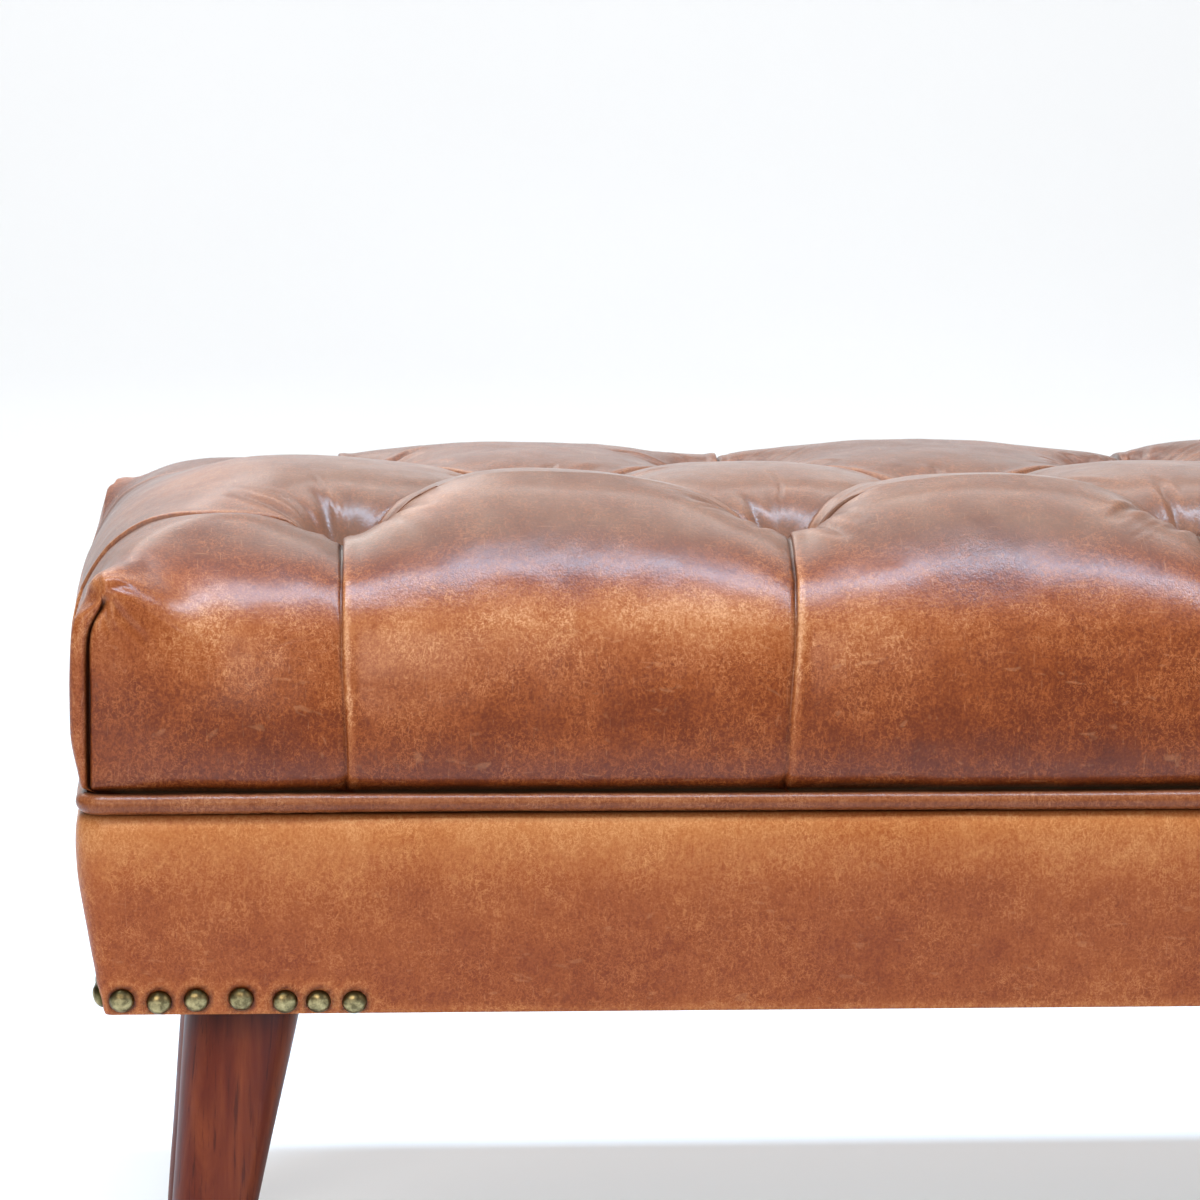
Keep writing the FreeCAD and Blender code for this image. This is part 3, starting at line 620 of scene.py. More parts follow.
# lower half: over an even span pleats rise to the right
rising = np.where(low, even, ~even)
slope = np.where(inside, ~rising, False)
faces = [grid_faces(ids["top"], slope=np.broadcast_to(slope, (nP - 1, nQ - 1)))]
g = np.concatenate([ids["top"][None, :, 0], ids["front"]], 0)
faces.append(grid_faces(g))
g = np.concatenate([ids["top"][None, :, -1], ids["rear"]], 0)
faces.append(grid_faces(g, flip=True))
g = np.concatenate([ids["top"][0][None, :], ids["left"]], 0)
faces.append(grid_faces(g, flip=True))
g = np.concatenate([ids["top"][-1][None, :], ids["right"]], 0)
faces.append(grid_faces(g))
faces = np.concatenate(faces)


def normals(v, f):
    n = np.cross(v[f[:, 1]] - v[f[:, 0]], v[f[:, 2]] - v[f[:, 0]])
    out = np.zeros_like(v)
    for k in range(3):
        for a in range(3):
            out[:, a] += np.bincount(f[:, k], n[:, a], len(v))
    return out / np.maximum(np.linalg.norm(out, axis=1, keepdims=True), 1e-12)


nrm = normals(base, faces)
if nrm[ids["top"][nP // 2, nQ // 2], 2] < 0:
    faces = faces[:, ::-1]
    nrm = -nrm

# ---- the pillowed shape: a stretched skin on foam, held down at tufts and pleats
edges_a, edges_b, weight = [], [], []


def spacing(x):
    h = np.diff(x)
    m = np.concatenate([[h[0]], 0.5 * (h[1:] + h[:-1]), [h[-1]]])
    return h, m


hp, mp = spacing(P)
hq, mq = spacing(Q)
mass = np.zeros(count)
mass[ids["top"]] = mp[:, None] * mq[None, :]
edges_a.append(ids["top"][:-1].ravel()); edges_b.append(ids["top"][1:].ravel())
weight.append((mq[None, :] / hp[:, None]).ravel())
edges_a.append(ids["top"][:, :-1].ravel()); edges_b.append(ids["top"][:, 1:].ravel())
weight.append((mp[:, None] / hq[None, :]).ravel())
hr = FLAP_LEN / n_flap
for s in ("front", "rear", "left", "right"):
    m1 = mp if s in ("front", "rear") else mq
    h1 = hp if s in ("front", "rear") else hq
    row0 = {"front": ids["top"][:, 0], "rear": ids["top"][:, -1],
            "left": ids["top"][0], "right": ids["top"][-1]}[s]
    g = np.concatenate([row0[None], ids[s]], 0)
    mass[ids[s]] = hr * m1[None, :]
    edges_a.append(g[:-1].ravel()); edges_b.append(g[1:].ravel())
    weight.append(np.broadcast_to(m1[None, :] / hr, g[:-1].shape).ravel())
    edges_a.append(ids[s][:, :-1].ravel()); edges_b.append(ids[s][:, 1:].ravel())
    weight.append(np.broadcast_to(hr / h1[None, :], ids[s][:, :-1].shape).ravel())
EA, EB, EW = np.concatenate(edges_a), np.concatenate(edges_b), np.concatenate(weight)
deg = np.bincount(EA, EW, count) + np.bincount(EB, EW, count)

tufts = [(x, -ROW) for x in COLS] + [(x, 0.0) for x in MIDS] + [(x, ROW) for x in COLS]
TUFT_DEPTH = 58.0
BUTTON_SEAT = 8.5

pin = np.zeros(count, bool)
pinned = np.zeros(count)


def hold(mask, values):
    """Pins vertices; where two pins meet the deeper one wins."""
    old = pin & mask
    v = np.where(old, np.minimum(pinned, values), values)
    pinned[mask] = v[mask]
    pin[mask] = True


# seams, foot
for s in ("front", "rear", "left", "right"):
    hold(np.isin(np.arange(count), ids[s][-1]), np.zeros(count))
seam_ids = np.concatenate([ids["front"][:, 0], ids["front"][:, -1], ids["rear"][:, 0], ids["rear"][:, -1],
                           ids["top"][[0, 0, -1, -1], [0, -1, 0, -1]]])
hold(np.isin(np.arange(count), seam_ids), np.zeros(count))


def near_tuft(d):
    """Depth of a pleat, in mm, by its distance from a tuft."""
    return np.interp(d, [0, 8.5, 12, 17, 24, 34, 48, 70], [58, 57, 47, 34, 25, 18.5, 14.5, 12.0])


# diagonal pleats
diagonals = []
for i, x in enumerate(COLS):
    for mx in MIDS:
        if abs(mx - x) < 110:
            for sy in (-1, 1):
                diagonals.append(((x, sy * ROW), (mx, 0.0)))
straight_f = [(x, sy) for x in COLS for sy in (-1, 1)]
straight_e = [(sx, sy) for sx in (-1, 1) for sy in (-1, 1)]

top_mask = region == 0
for (ax, ay), (bx, by) in diagonals:
    dx, dy = bx - ax, by - ay
    L = math.hypot(dx, dy)
    u = ((cp - ax) * dx + (cq - ay) * dy) / L
    d = ((cp - ax) * dy - (cq - ay) * dx) / L
    m = top_mask & (np.abs(d) < 0.02) & (u > -0.01) & (u < L + 0.01)
    val = -np.maximum(near_tuft(u), near_tuft(L - u)) + 1.5 * np.sin(math.pi * np.clip(u / L, 0, 1))
    hold(m, val)
for x, sy in straight_f:
    d = sy * cq - ROW
    m = (np.abs(cp - x) < 0.01) & (d > -0.01)
    deep = [58, 56, 45, 34, 26, 20, 14.5, 9.5, 6.0, 4.0, 3.2, 2.4, 0.5] if sy < 0 else \
        [52, 50, 38, 26, 18.5, 13.5, 10.5, 8.5, 6.5, 4.5, 3.2, 2.4, 0.5]
    if sy < 0 and abs(x) > 400:
        deep = [58, 56, 47, 37.5, 30, 24, 17.5, 11.0, 6.5, 4.2, 3.2, 2.4, 0.5]
    val = -np.interp(d, [0, 8.5, 12, 16, 22, 30, 42, 60, 80, 105, 140, 215, 232], deep)
    hold(m, val)
for sx, sy in straight_e:
    d = sx * cp - 428.0
    m = (np.abs(cq - sy * ROW) < 0.01) & (d > -0.01)
    if sy < 0:
        val = -np.interp(d, [0, 8.5, 12, 16, 22, 30, 42, 60, 76, 87, 98, 110, 130, 160, 240],
                         [58, 56, 45, 35, 28, 23, 18.5, 13.5, 9.5, 6.0, 3.5, 2.0, 0.8, 0.8, 0.2])
    else:
        val = -np.interp(d, [0, 8.5, 12, 16, 22, 30, 42, 60, 80, 105, 125, 160, 240],
                         [58, 56, 45, 36, 30, 25, 21, 18, 14.5, 9.0, 5.0, 3.0, 0.5])
    hold(m, val)
for tx_, ty_ in tufts:
    r = np.hypot(cp - tx_, cq - ty_)
    hold(top_mask & (r < BUTTON_SEAT), np.full(count, -TUFT_DEPTH))

# what the foam wants: crests differ from mound to mound
want = np.full(count, 0.0)
ap, aq = np.abs(cp), np.abs(cq)


def mound(p0, q0, rp, rq, h):
    """A local swell of height h around one place on the leather."""
    return h * np.exp(-((cp - p0) / rp) ** 2 - ((cq - q0) / rq) ** 2)


want += 4.5 * smooth((-cq - 30.0) / 40.0) * smooth((185.0 + cq) / 60.0 + 0.2) * smooth((470.0 - ap) / 60.0)
want += 2.0 * np.exp(-(cq / 45.0) ** 2) * (ap < 428) + 2.0 * np.exp(-(cq / 60.0) ** 2) * smooth((ap - 428) / 25.0)
want += -6.0 * smooth((ap - 440) / 35.0) * smooth((aq - 115.0) / 30.0) * smooth((215.0 - aq) / 40.0)
want += -5.0 * smooth((ap - 440) / 30.0) * smooth((cq - 20.0) / 40.0)
want += mound(-375, -78, 34, 30, 9.0) + mound(-325, -80, 34, 30, 3.5) + mound(-255, -80, 26, 30, -3.0)
want += mound(-446, 0, 26, 50, 6.0) + mound(-520, 10, 34, 60, -3.0)
want += mound(-245, 160, 26, 30, -8.0) + mound(-310, 160, 40, 40, -3.0) + mound(25, 160, 30, 30, 9.0) + mound(-50, 160, 26, 30, -4.0)
want += mound(60, -78, 40, 30, 2.5) + mound(330, -75, 50, 30, 2.0) + mound(250, 150, 40, 30, -2.5) + mound(480, -40, 40, 40, 3.0)
want += 1.2 * fbm(np.stack([cp, cq, 0 * cp], 1), 170.0, 5, 2)
want = np.where(region > 0, 0.3, want)

LEN = np.where(region > 0, 26.0, 27.0)
kk = mass / LEN ** 2
free = ~pin
xs = np.where(pin, pinned, want)


def stiff(v):
    return deg * v - np.bincount(EA, EW * v[EB], count) - np.bincount(EB, EW * v[EA], count) + kk * v


rhs = kk * want
res = np.where(free, rhs - stiff(xs), 0.0)
diag = deg + kk
zv = res / diag
pv = zv.copy()
rz = res @ zv
first = rz
for it in range(400):
    Ap = np.where(free, stiff(pv), 0.0)
    al = rz / (pv @ Ap)
    xs = xs + al * pv
    res = res - al * Ap
    zv = res / diag
    rz2 = res @ zv
    if rz2 < 1e-9 * first:
        break
    pv = zv + (rz2 / rz) * pv
    rz = rz2
lift = xs

# ---- folds and creases, as shapes across a line on the leather
detail = np.zeros(count)               # along the normal
slide_p = np.zeros(count)              # along P, on the leather
slide_q = np.zeros(count)
crease_shade = np.zeros(count)
pull_and_highlight = np.zeros(count)


def segment(ax, ay, bx, by, reg=None):
    dx, dy = bx - ax, by - ay
    L = math.hypot(dx, dy)
    u = ((cp - ax) * dx + (cq - ay) * dy) / L
    d = ((cp - ax) * dy - (cq - ay) * dx) / L      # positive on the right of a to b
    return u, d, L, dx / L, dy / L


def pleat(ax, ay, bx, by, lip_side, lip, depth, fade_a=10.0, fade_b=10.0, width=2.0, gate=None,
          dark=((0, 1.0), (400, 1.0)), bright=((0, 0.8), (400, 0.8))):
    """A fold: a narrow line of painted shade with a rounded lip on one side, the lip leaning over it.
    dark and bright give the strength of the painted shade in the line and of the lip's lighter edge along the fold,
    partly the stretched leather's pull-up and partly painted highlight."""
    global detail, slide_p, slide_q, crease_shade, pull_and_highlight
    u, d, L, ux, uy = segment(ax, ay, bx, by)
    on = smooth(u / fade_a) * smooth((L - u) / fade_b)
    on = np.where((u > 0) & (u < L), on, 0.0)
    if gate is not None:
        on = on * gate
    wob = 0.8 + 0.2 * value_noise(np.stack([u, np.full(count, ax), np.full(count, ay)], 1), 34.0, 3)
    wide = 1.0 + 0.35 * value_noise(np.stack([u, np.full(count, ay), np.full(count, ax)], 1), 21.0, 8)
    on = on * wob
    e = d * lip_side
    far = np.abs(d) < 30.0
    groove = -depth * np.exp(-(np.abs(d) / (0.6 * width * wide)) ** 1.3)
    ridge = np.where(e > 0, lip * np.exp(-((e - 2.6) / (3.4 * wide)) ** 2) * (1 - np.exp(-(e / 1.0) ** 2)), 0.0)
    low = np.where(e < 0, -0.75 * lip * np.exp(-(e / 8.0) ** 2), 0.0)
    detail += np.where(far, on * (groove + ridge + low), 0.0)
    lean = -0.9 * lip * np.exp(-((e - 1.7) / 1.6) ** 2) * (e > 0) * (1 - np.exp(-(e / 0.5) ** 2))
    lean = np.maximum(lean, -0.7 * np.maximum(e, 0))
    # direction in which d grows is (uy, -ux)
    slide_p += np.where(far, on * lean * lip_side * uy, 0.0)
    slide_q += np.where(far, on * lean * lip_side * -ux, 0.0)
    dk = np.interp(u, [x[0] for x in dark], [x[1] for x in dark])
    br = np.interp(u, [x[0] for x in bright], [x[1] for x in bright])
    # painted shade in the fold and, wider and fainter, on its low side; the lip lighter, partly pull-up and partly
    # painted highlight
    line = np.exp(-(np.abs(e + 0.35) / (0.62 * width * wide)) ** 2) + 0.22 * np.exp(-((e + 2.2) / 2.6) ** 2) * (e < 0.4)
    crease_shade = np.maximum(crease_shade, np.where(far, dk * on * np.minimum(line, 1.0), 0.0))
    pull_and_highlight = np.maximum(pull_and_highlight, np.where(far, br * on * np.exp(-((e - 2.4) / 1.9) ** 2), 0.0))


side_gate = {k: (region == i).astype(float) for i, k in enumerate(("top", "front", "rear", "left", "right"))}
F_END = ROW + L_FRONT + FLAP_LEN
R_END = ROW + L_REAR + FLAP_LEN
E_END = 428.0 + L_END + FLAP_LEN
for k, (x, sy) in enumerate(straight_f):
    lip_side = 1.0 if sy < 0 else -1.0
    g = ((region == 0) | (region == (1 if sy < 0 else 2))).astype(float)
    # running from the tuft to the foot; d is positive on the right of that line
    side = -1.0 if sy < 0 else 1.0
    if sy > 0 and k % 3 == 0:
        side = -side
    g = g * np.interp(np.abs(cq), [ROW + 70, ROW + 120, ROW + 180, F_END], [1.0, 0.72, 0.5, 0.42])
    pleat(x, sy * (ROW + 7), x, sy * (F_END if sy < 0 else R_END), side, 1.45, 1.9, 14.0, 1.0, 1.6, g,
          dark=((0, 1.0), (60, 0.9), (90, 0.75), (120, 0.62), (185, 0.6), (232, 0.9)),
          bright=((0, 0.3), (60, 0.45), (80, 1.1), (150, 1.5), (200, 1.2), (240, 0.6)))
for sx, sy in straight_e:
    g = ((region == 0) | (region == (3 if sx < 0 else 4))).astype(float)
    side = (1.0 if sy < 0 else -1.0) * (1.0 if sx < 0 else -1.0)
    pleat(sx * 435.0, sy * ROW, sx * E_END, sy * ROW, side, 1.3, 1.7, 14.0, 1.0, 1.6, g,
          dark=((0, 0.8), (40, 0.6), (70, 0.42), (110, 0.5), (240, 0.7)),
          bright=((0, 0.2), (40, 0.6), (70, 1.3), (200, 1.3), (240, 0.5)))
for (ax, ay), (bx, by) in diagonals:
    u_, d_, L_, ux, uy = segment(ax, ay, bx, by)
    # the outer mound's edge lies over the pleat: test a spot on the outer side of it
    ox, oy = 0.5 * (ax + bx), 0.5 * (ay + by) + (30.0 if ay > 0 else -30.0)
    dd = ((ox - ax) * (by - ay) - (oy - ay) * (bx - ax))
    side = 1.0 if dd > 0 else -1.0
    pleat(ax, ay, bx, by, side, 1.5, 2.3, 22.0, 22.0, 1.8, side_gate["top"],
          dark=((0, 0.5), (150, 0.5)), bright=((0, 0.9), (150, 0.9)))


def wrinkle(points, depth, width, gate=None, lift_side=0.35, dark=0.25):
    """A soft fold along a polyline in (P, Q), deepest in the middle, with a slight swell beside it; its line is
    darkened with painted shade and the swell is lighter where the leather is stretched.
    """
    global detail, crease_shade, pull_and_highlight
    pts = np.array(points, float)
    seg = np.linalg.norm(np.diff(pts, axis=0), axis=1)
    total = seg.sum()
    lo, hi = pts.min(0) - 5 * width - 2, pts.max(0) + 5 * width + 2
    near = np.where((cp > lo[0]) & (cp < hi[0]) & (cq > lo[1]) & (cq < hi[1]))[0]
    if gate is not None:
        near = near[gate[near] > 0]
    if not len(near):
        return
    best = np.full(len(near), 1e9)
    pos = np.zeros(len(near))
    run = 0.0
    for (a, b, L) in zip(pts[:-1], pts[1:], seg):
        t = (b - a) / L
        rel = np.stack([cp[near] - a[0], cq[near] - a[1]], 1)
        u = np.clip(rel @ t, 0, L)
        d = np.hypot(rel[:, 0] - u * t[0], rel[:, 1] - u * t[1])
        closer = d < best
        best = np.where(closer, d, best)
        pos = np.where(closer, run + u, pos)
        run += L
    fade = np.sin(math.pi * np.clip(pos / total, 0, 1)) ** 0.7
    line = np.exp(-(best / width) ** 2)
    swell = np.exp(-((best - 2.1 * width) / (1.1 * width)) ** 2)
    detail[near] += fade * (-depth * line + lift_side * depth * swell)
    crease_shade[near] = np.maximum(crease_shade[near], dark * fade * line * min(1.0, depth))
    pull_and_highlight[near] = np.maximum(pull_and_highlight[near], 0.4 * fade * swell * min(1.0, depth))


# gathers running out of each tuft between the pleats
for k, (x, y) in enumerate(tufts):
    dirs = []
    for (ax, ay), (bx, by) in diagonals:
        if (ax, ay) == (x, y):
            dirs.append(math.atan2(by - ay, bx - ax))
        if (bx, by) == (x, y):
            dirs.append(math.atan2(ay - by, ax - bx))
    if abs(y) > 1:
        dirs.append(math.copysign(math.pi / 2, y))
    if abs(x) > 400:
        dirs.append(0.0 if x > 0 else math.pi)
    for (n, w0, w1, dep0, dep1, len0, len1, dk) in ((7, 2.4, 3.8, 0.6, 1.5, 20, 50, 0.10), (19, 0.8, 1.5, 0.2, 0.55, 16, 62, 0.32)):
        for i in range(n):
            a = 2 * math.pi * (i + rng.uniform(-0.4, 0.4)) / n
            if min(abs((a - d + math.pi) % (2 * math.pi) - math.pi) for d in dirs) < 0.12:
                continue
            r0 = rng.uniform(12, 20)
            r1 = r0 + rng.uniform(len0, len1)
            bend = rng.uniform(-0.2, 0.2)
            pts = [(x + r * math.cos(a + bend * (r - r0) / 30), y + r * math.sin(a + bend * (r - r0) / 30))
                   for r in np.linspace(r0, r1, 6)]
            wrinkle(pts, rng.uniform(dep0, dep1), rng.uniform(w0, w1), side_gate["top"], 0.6, dk)

# soft folds beside the diagonal pleats
for (ax, ay), (bx, by) in diagonals:
    for side in (-1, 1):
        if rng.uniform() < 0.35:
            continue
        off = side * rng.uniform(9, 17)
        L = math.hypot(bx - ax, by - ay)
        ux, uy = (bx - ax) / L, (by - ay) / L
        a0, a1 = sorted(rng.uniform(0.12, 0.9, 2))
        if a1 - a0 < 0.3:
            a1 = a0 + 0.3
        pts = [(ax + ux * L * t - uy * off * (0.5 + 0.5 * math.sin(math.pi * t)),
                ay + uy * L * t + ux * off * (0.5 + 0.5 * math.sin(math.pi * t))) for t in np.linspace(a0, min(a1, 0.95), 7)]
        wrinkle(pts, rng.uniform(0.5, 1.3), rng.uniform(2.2, 4.0), side_gate["top"], 0.5, 0.15)

# fine creases across the front, mostly level
for k in range(46):
    sy = -1 if k % 3 else 1
    p0 = rng.uniform(-540, 540) if k > 8 else rng.uniform(-545, -440)
    q0 = (ROW + L_FRONT + rng.uniform(-12, 34)) if k > 8 else (ROW + L_FRONT + rng.uniform(-6, 14))
    q0 *= -1 if k <= 8 else sy
    ln = rng.uniform(14, 46)
    tilt = rng.uniform(-0.35, 0.35)
    pts = [(p0 + ln * t, q0 + ln * t * tilt + rng.uniform(-0.8, 0.8)) for t in np.linspace(-0.5, 0.5, 6)]
    wrinkle(pts, rng.uniform(0.15, 0.4), rng.uniform(0.7, 1.2), None, 0.7, 0.22)

# pinch wrinkles at the four tips
for sx in (-1, 1):
    for sy in (-1, 1):
        ex, ey = sx * (428 + L_END), sy * (ROW + L_FRONT)
        for (dx, dy, L, dep) in ((-0.95, 0.25, 30, 0.8), (-0.6, -0.7, 26, 1.0), (-0.85, -0.35, 44, 0.7),
                                 (-0.3, 0.9, 22, 0.7), (0.5, -0.6, 20, 0.6)):
            pts = [(ex + sx * dx * L * t, ey - sy * dy * L * t + sy * 2 * math.sin(3 * t)) for t in np.linspace(0.12, 1, 5)]
            wrinkle(pts, dep, 2.0, None, 0.5, 0.1)

# assemble: base + lift along the normal, then folds along the new normal
body = base + nrm * lift[:, None]
# slack in the hide: a low, uneven swell
pts3 = np.stack([cp, cq, np.zeros(count)], 1)
slack = 0.5 * fbm(pts3, 70.0, 21, 3) + 0.22 * fbm(pts3, 22.0, 31, 2)
n2 = normals(body, faces)
ease = np.where(pin, 0.0, 1.0)
body = body + n2 * (slack * ease)[:, None]

# tangents along P and Q from the base, for the leaning lips
axis_p = np.zeros((count, 3)); axis_q = np.zeros((count, 3))
axis_p[:, 0] = 1.0
axis_q[:, 1] = 1.0
axis_q[region == 1] = (0, 0, 1.0)
axis_q[region == 2] = (0, 0, -1.0)
axis_p[region == 3] = (0, 0, 1.0)
axis_p[region == 4] = (0, 0, -1.0)
body = body + n2 * detail[:, None] + axis_p * slide_p[:, None] + axis_q * slide_q[:, None]

# the tips of the corners are drawn in and down
for sx in (-1, 1):
    for sy in (-1, 1):
        tip = np.array([sx * EDGE_X, sy * EDGE_Y, 404.0])
        w = np.exp(-(np.sum((base - tip) ** 2, 1) / 11.0 ** 2))
        body += w[:, None] * np.array([-sx * 7.5, -sy * 1.5, -1.0 if sy < 0 else -4.5])

# hand-made irregularity: tufts a few mm off, pleats that wander
shifts = {(-428.0, -ROW): (0.5, 0.0), (-214.0, -ROW): (4.5, 0.5), (0.0, -ROW): (-2.0, 1.5),
          (214.0, -ROW): (2.5, -1.0), (428.0, -ROW): (-1.5, 0.5), (-321.0, 0.0): (2.0, 2.0),
          (-107.0, 0.0): (-2.5, -1.5), (107.0, 0.0): (3.0, 1.0), (321.0, 0.0): (-1.0, -2.0),
          (-428.0, ROW): (2.0, -1.0), (-214.0, ROW): (-3.0, 1.0), (0.0, ROW): (2.5, 0.5),
          (214.0, ROW): (-1.5, -1.5), (428.0, ROW): (2.5, 1.0)}
for (x, y), (dx, dy) in shifts.items():
    w = np.exp(-((cp - x) ** 2 + (cq - y) ** 2) / (2 * 42.0 ** 2)) * (region == 0)
    body[:, 0] += dx * w
    body[:, 1] += dy * w
wander = {
    -428.0: ([0, 30, 95, 130, 180, 232], [0.0, -1.5, -3.0, -3.0, -1.0, -0.6]),
    -214.0: ([0, 30, 80, 110, 140, 165, 200, 232], [0.0, 2.5, 4.0, 3.0, 1.0, -0.6, -2.0, -2.8]),
    0.0: ([0, 60, 130, 180, 232], [0.0, -2.5, 1.0, 2.5, 0.5]),
    214.0: ([0, 60, 130, 180, 232], [0.0, 2.0, 3.0, 0.5, -2.0]),
    428.0: ([0, 60, 130, 180, 232], [0.0, -1.0, 2.0, 2.5, 1.0]),
}
for x, (d, off) in wander.items():
    for sy in (-1, 1):
        dist = sy * cq - ROW
        w = np.exp(-((cp - x) / 40.0) ** 2) * (dist > 0) * ((region == 0) | (region == (1 if sy < 0 else 2)))
        sgn = 1.0 if sy < 0 else -0.8
        body[:, 0] += sgn * w * np.interp(dist, d, off)
for sx in (-1, 1):
    for sy in (-1, 1):
        dist = sx * cp - 428.0
        w = np.exp(-((cq - sy * ROW) / 32.0) ** 2) * (dist > 0) * ((region == 0) | (region == (3 if sx < 0 else 4)))
        body[:, 1] += w * np.interp(dist, [0, 70, 140, 190, 240], [0, 2.5, 0.5, -2.0, -0.5]) * sx * sy * -1

# the underside: a closed base, turned in under the foot
loop = np.concatenate([ids["front"][-1], ids["right"][-1][1:], ids["rear"][-1][::-1][1:], ids["left"][-1][::-1][1:-1]])
turn = body[loop].copy()
turn[:, 0] *= 0.985
turn[:, 1] *= 0.96
turn[:, 2] = 306.0
turn_ids = count + np.arange(len(loop))
mid_id = count + len(loop)
verts = np.concatenate([body, turn, [[0, 0, 306.0]]])
nxt = np.roll(np.arange(len(loop)), -1)
quad = np.stack([loop, loop[nxt], turn_ids[nxt], turn_ids], 1)
tri = np.concatenate([quad[:, [0, 1, 2]], quad[:, [0, 2, 3]],
                      np.stack([turn_ids, turn_ids[nxt], np.full(len(loop), mid_id)], 1)])
# wind the closing faces like the rest
f0 = faces[np.isin(faces, loop[:2]).sum(1) == 2][0]
i0, i1 = list(f0).index(loop[0]), list(f0).index(loop[1])
if (i1 - i0) % 3 == 1:
    tri = tri[:, ::-1]
all_faces = np.concatenate([faces, tri])
extra = np.zeros(len(loop) + 1)

# colour hints: painted shade in the seams' gap and at the foot, which sits in shadow; the shoulders are rubbed
seam_gap_shade = np.zeros(count)
for s, col in (("front", 0), ("front", -1), ("rear", 0), ("rear", -1)):
    seam_gap_shade[ids[s][2:, col]] = 1.0
near_seam_f = np.interp(1 - sP, [0, 1], [0, 125.0])
for s in ("front", "rear"):
    g = np.interp(near_seam_f, [0, 1.7, 3.2], [1.0, 1.0, 0.0])[None, :] * np.ones((n_flap, 1))
    g[:2] *= np.array([0.5, 0.85])[:, None][:2]
    seam_gap_shade[ids[s]] = np.maximum(seam_gap_shade[ids[s]], g)
near_seam_e = np.interp(1 - sQ, [0, 1], [0, 95.0])
for s in ("left", "right"):
    g = np.interp(near_seam_e, [0, 1.6, 2.8], [1.0, 1.0, 0.0])[None, :] * np.ones((n_flap, 1))
    g[:2] *= np.array([0.5, 0.85])[:, None][:2]
    seam_gap_shade[ids[s]] = np.maximum(seam_gap_shade[ids[s]], g)
    r = np.interp(near_seam_e, [2.4, 4.0, 5.5, 8.0], [0.0, 0.25, 0.25, 0.0])[None, :] * np.ones((n_flap, 1))
    pull_and_highlight[ids[s]] = np.maximum(pull_and_highlight[ids[s]], r)
crease_shade = np.clip(np.maximum(crease_shade, seam_gap_shade), 0, 1)
for s in ("front", "rear", "left", "right"):
    foot = np.interp(T, [0.88, 0.985, 1.0], [0.0, 0.18, 0.9])
    crease_shade[ids[s]] = np.maximum(crease_shade[ids[s]], foot[:, None])
# painted shade in the tuft hollows
tuft_shade = np.zeros(count)
for x, y in tufts:
    r = np.hypot(cp - x, cq - y)
    tuft_shade = np.maximum(tuft_shade, 0.22 * np.exp(-(r / 13.0) ** 2))
crease_shade = np.maximum(crease_shade, tuft_shade * top_mask)
shoulder = np.interp(np.abs(cq), [ROW + 60, ROW + 100, ROW + L_FRONT + 12, ROW + L_FRONT + 45], [0, 0.14, 0.14, 0.0]) \
    * (0.6 + 0.4 * fbm(pts3, 60.0, 77, 3))
pull_and_highlight = np.clip(np.maximum(pull_and_highlight, np.clip(shoulder, 0, 1) * np.isin(region, (0, 1, 2))), 0, 1)

tone_and_light = 0.0 * cp


def tone_and_light_patch(p0, q0, rp, rq, t):
    """A lighter or darker place on the leather: most calls give the hide's own tone, the three marked ones paint light
    and shade.
    """
    global tone_and_light
    tone_and_light = tone_and_light + t * np.exp(-((cp - p0) / rp) ** 2 - ((cq - q0) / rq) ** 2)


# down the front: a lighter band just under the shoulder, partly the hide's rubbed pull-up and partly painted light;
# above it a band of painted shade that sets off the shoulder's highlight; darker towards the piping, partly darker hide
# and partly painted shade
flat_q = np.abs(cq) - (ROW + L_FRONT)
tone_and_light += np.interp(flat_q, [-90, -62, -46, -36, -26, -14, 0, 15, 40, 92],
                  [-0.05, -0.12, -0.16, -0.08, 0.08, 0.2, 0.13, 0.02, -0.05, -0.15]) * (region < 3)
# painted grey sheen on the top away from its edges, standing in for the reflection of the pale surroundings, with the
# colour under it darkened; less of it towards the back and the ends, and the top darker towards the back
painted_sheen = top_mask * smooth((np.abs(flat_q) - 38) / 40.0)
tone_and_light += -0.30 * painted_sheen
painted_sheen = painted_sheen * np.interp(cq, [-20.0, 90.0], [1.0, 0.6]) * np.interp(np.abs(cp), [430.0, 500.0], [1.0, 0.6])
tone_and_light += -0.16 * top_mask * smooth((cq + 20.0) / 110.0)
tone_and_light_patch(-548, -205, 26, 26, -0.45)
tone_and_light_patch(-310, -208, 80, 16, 0.30)
tone_and_light_patch(-262, -205, 34, 14, 0.22)
tone_and_light_patch(-480, -222, 60, 24, 0.10)
tone_and_light_patch(-395, -240, 26, 44, 0.25)
tone_and_light_patch(-150, -196, 60, 18, 0.05)
tone_and_light_patch(-60, -225, 80, 30, -0.25)
tone_and_light_patch(-500, -280, 70, 26, -0.18)
tone_and_light_patch(-120, -292, 70, 26, -0.25)
# painted highlight on the crest of the left end's cell
tone_and_light_patch(-505, -20, 30, 40, 0.45)
# painted highlight on the left front slope of the mound right of the first tuft
tone_and_light_patch(-395, -125, 26, 20, 0.45)
# painted shade on the left side of the first front pleat
tone_and_light_patch(-440, -150, 40, 30, -0.15)
cushion = new_mesh("tufted_seat", verts, all_faces, seat_leather,
                   attributes={"tone_and_light": np.concatenate([tone_and_light, extra]), "painted_sheen": np.concatenate([painted_sheen, extra]), "crease_shade": np.concatenate([crease_shade, extra]), "pull_and_highlight": np.concatenate([pull_and_highlight, extra])})
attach(cushion, "root")
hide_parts("seat_cover", "seat_wadding", "seat_foam")

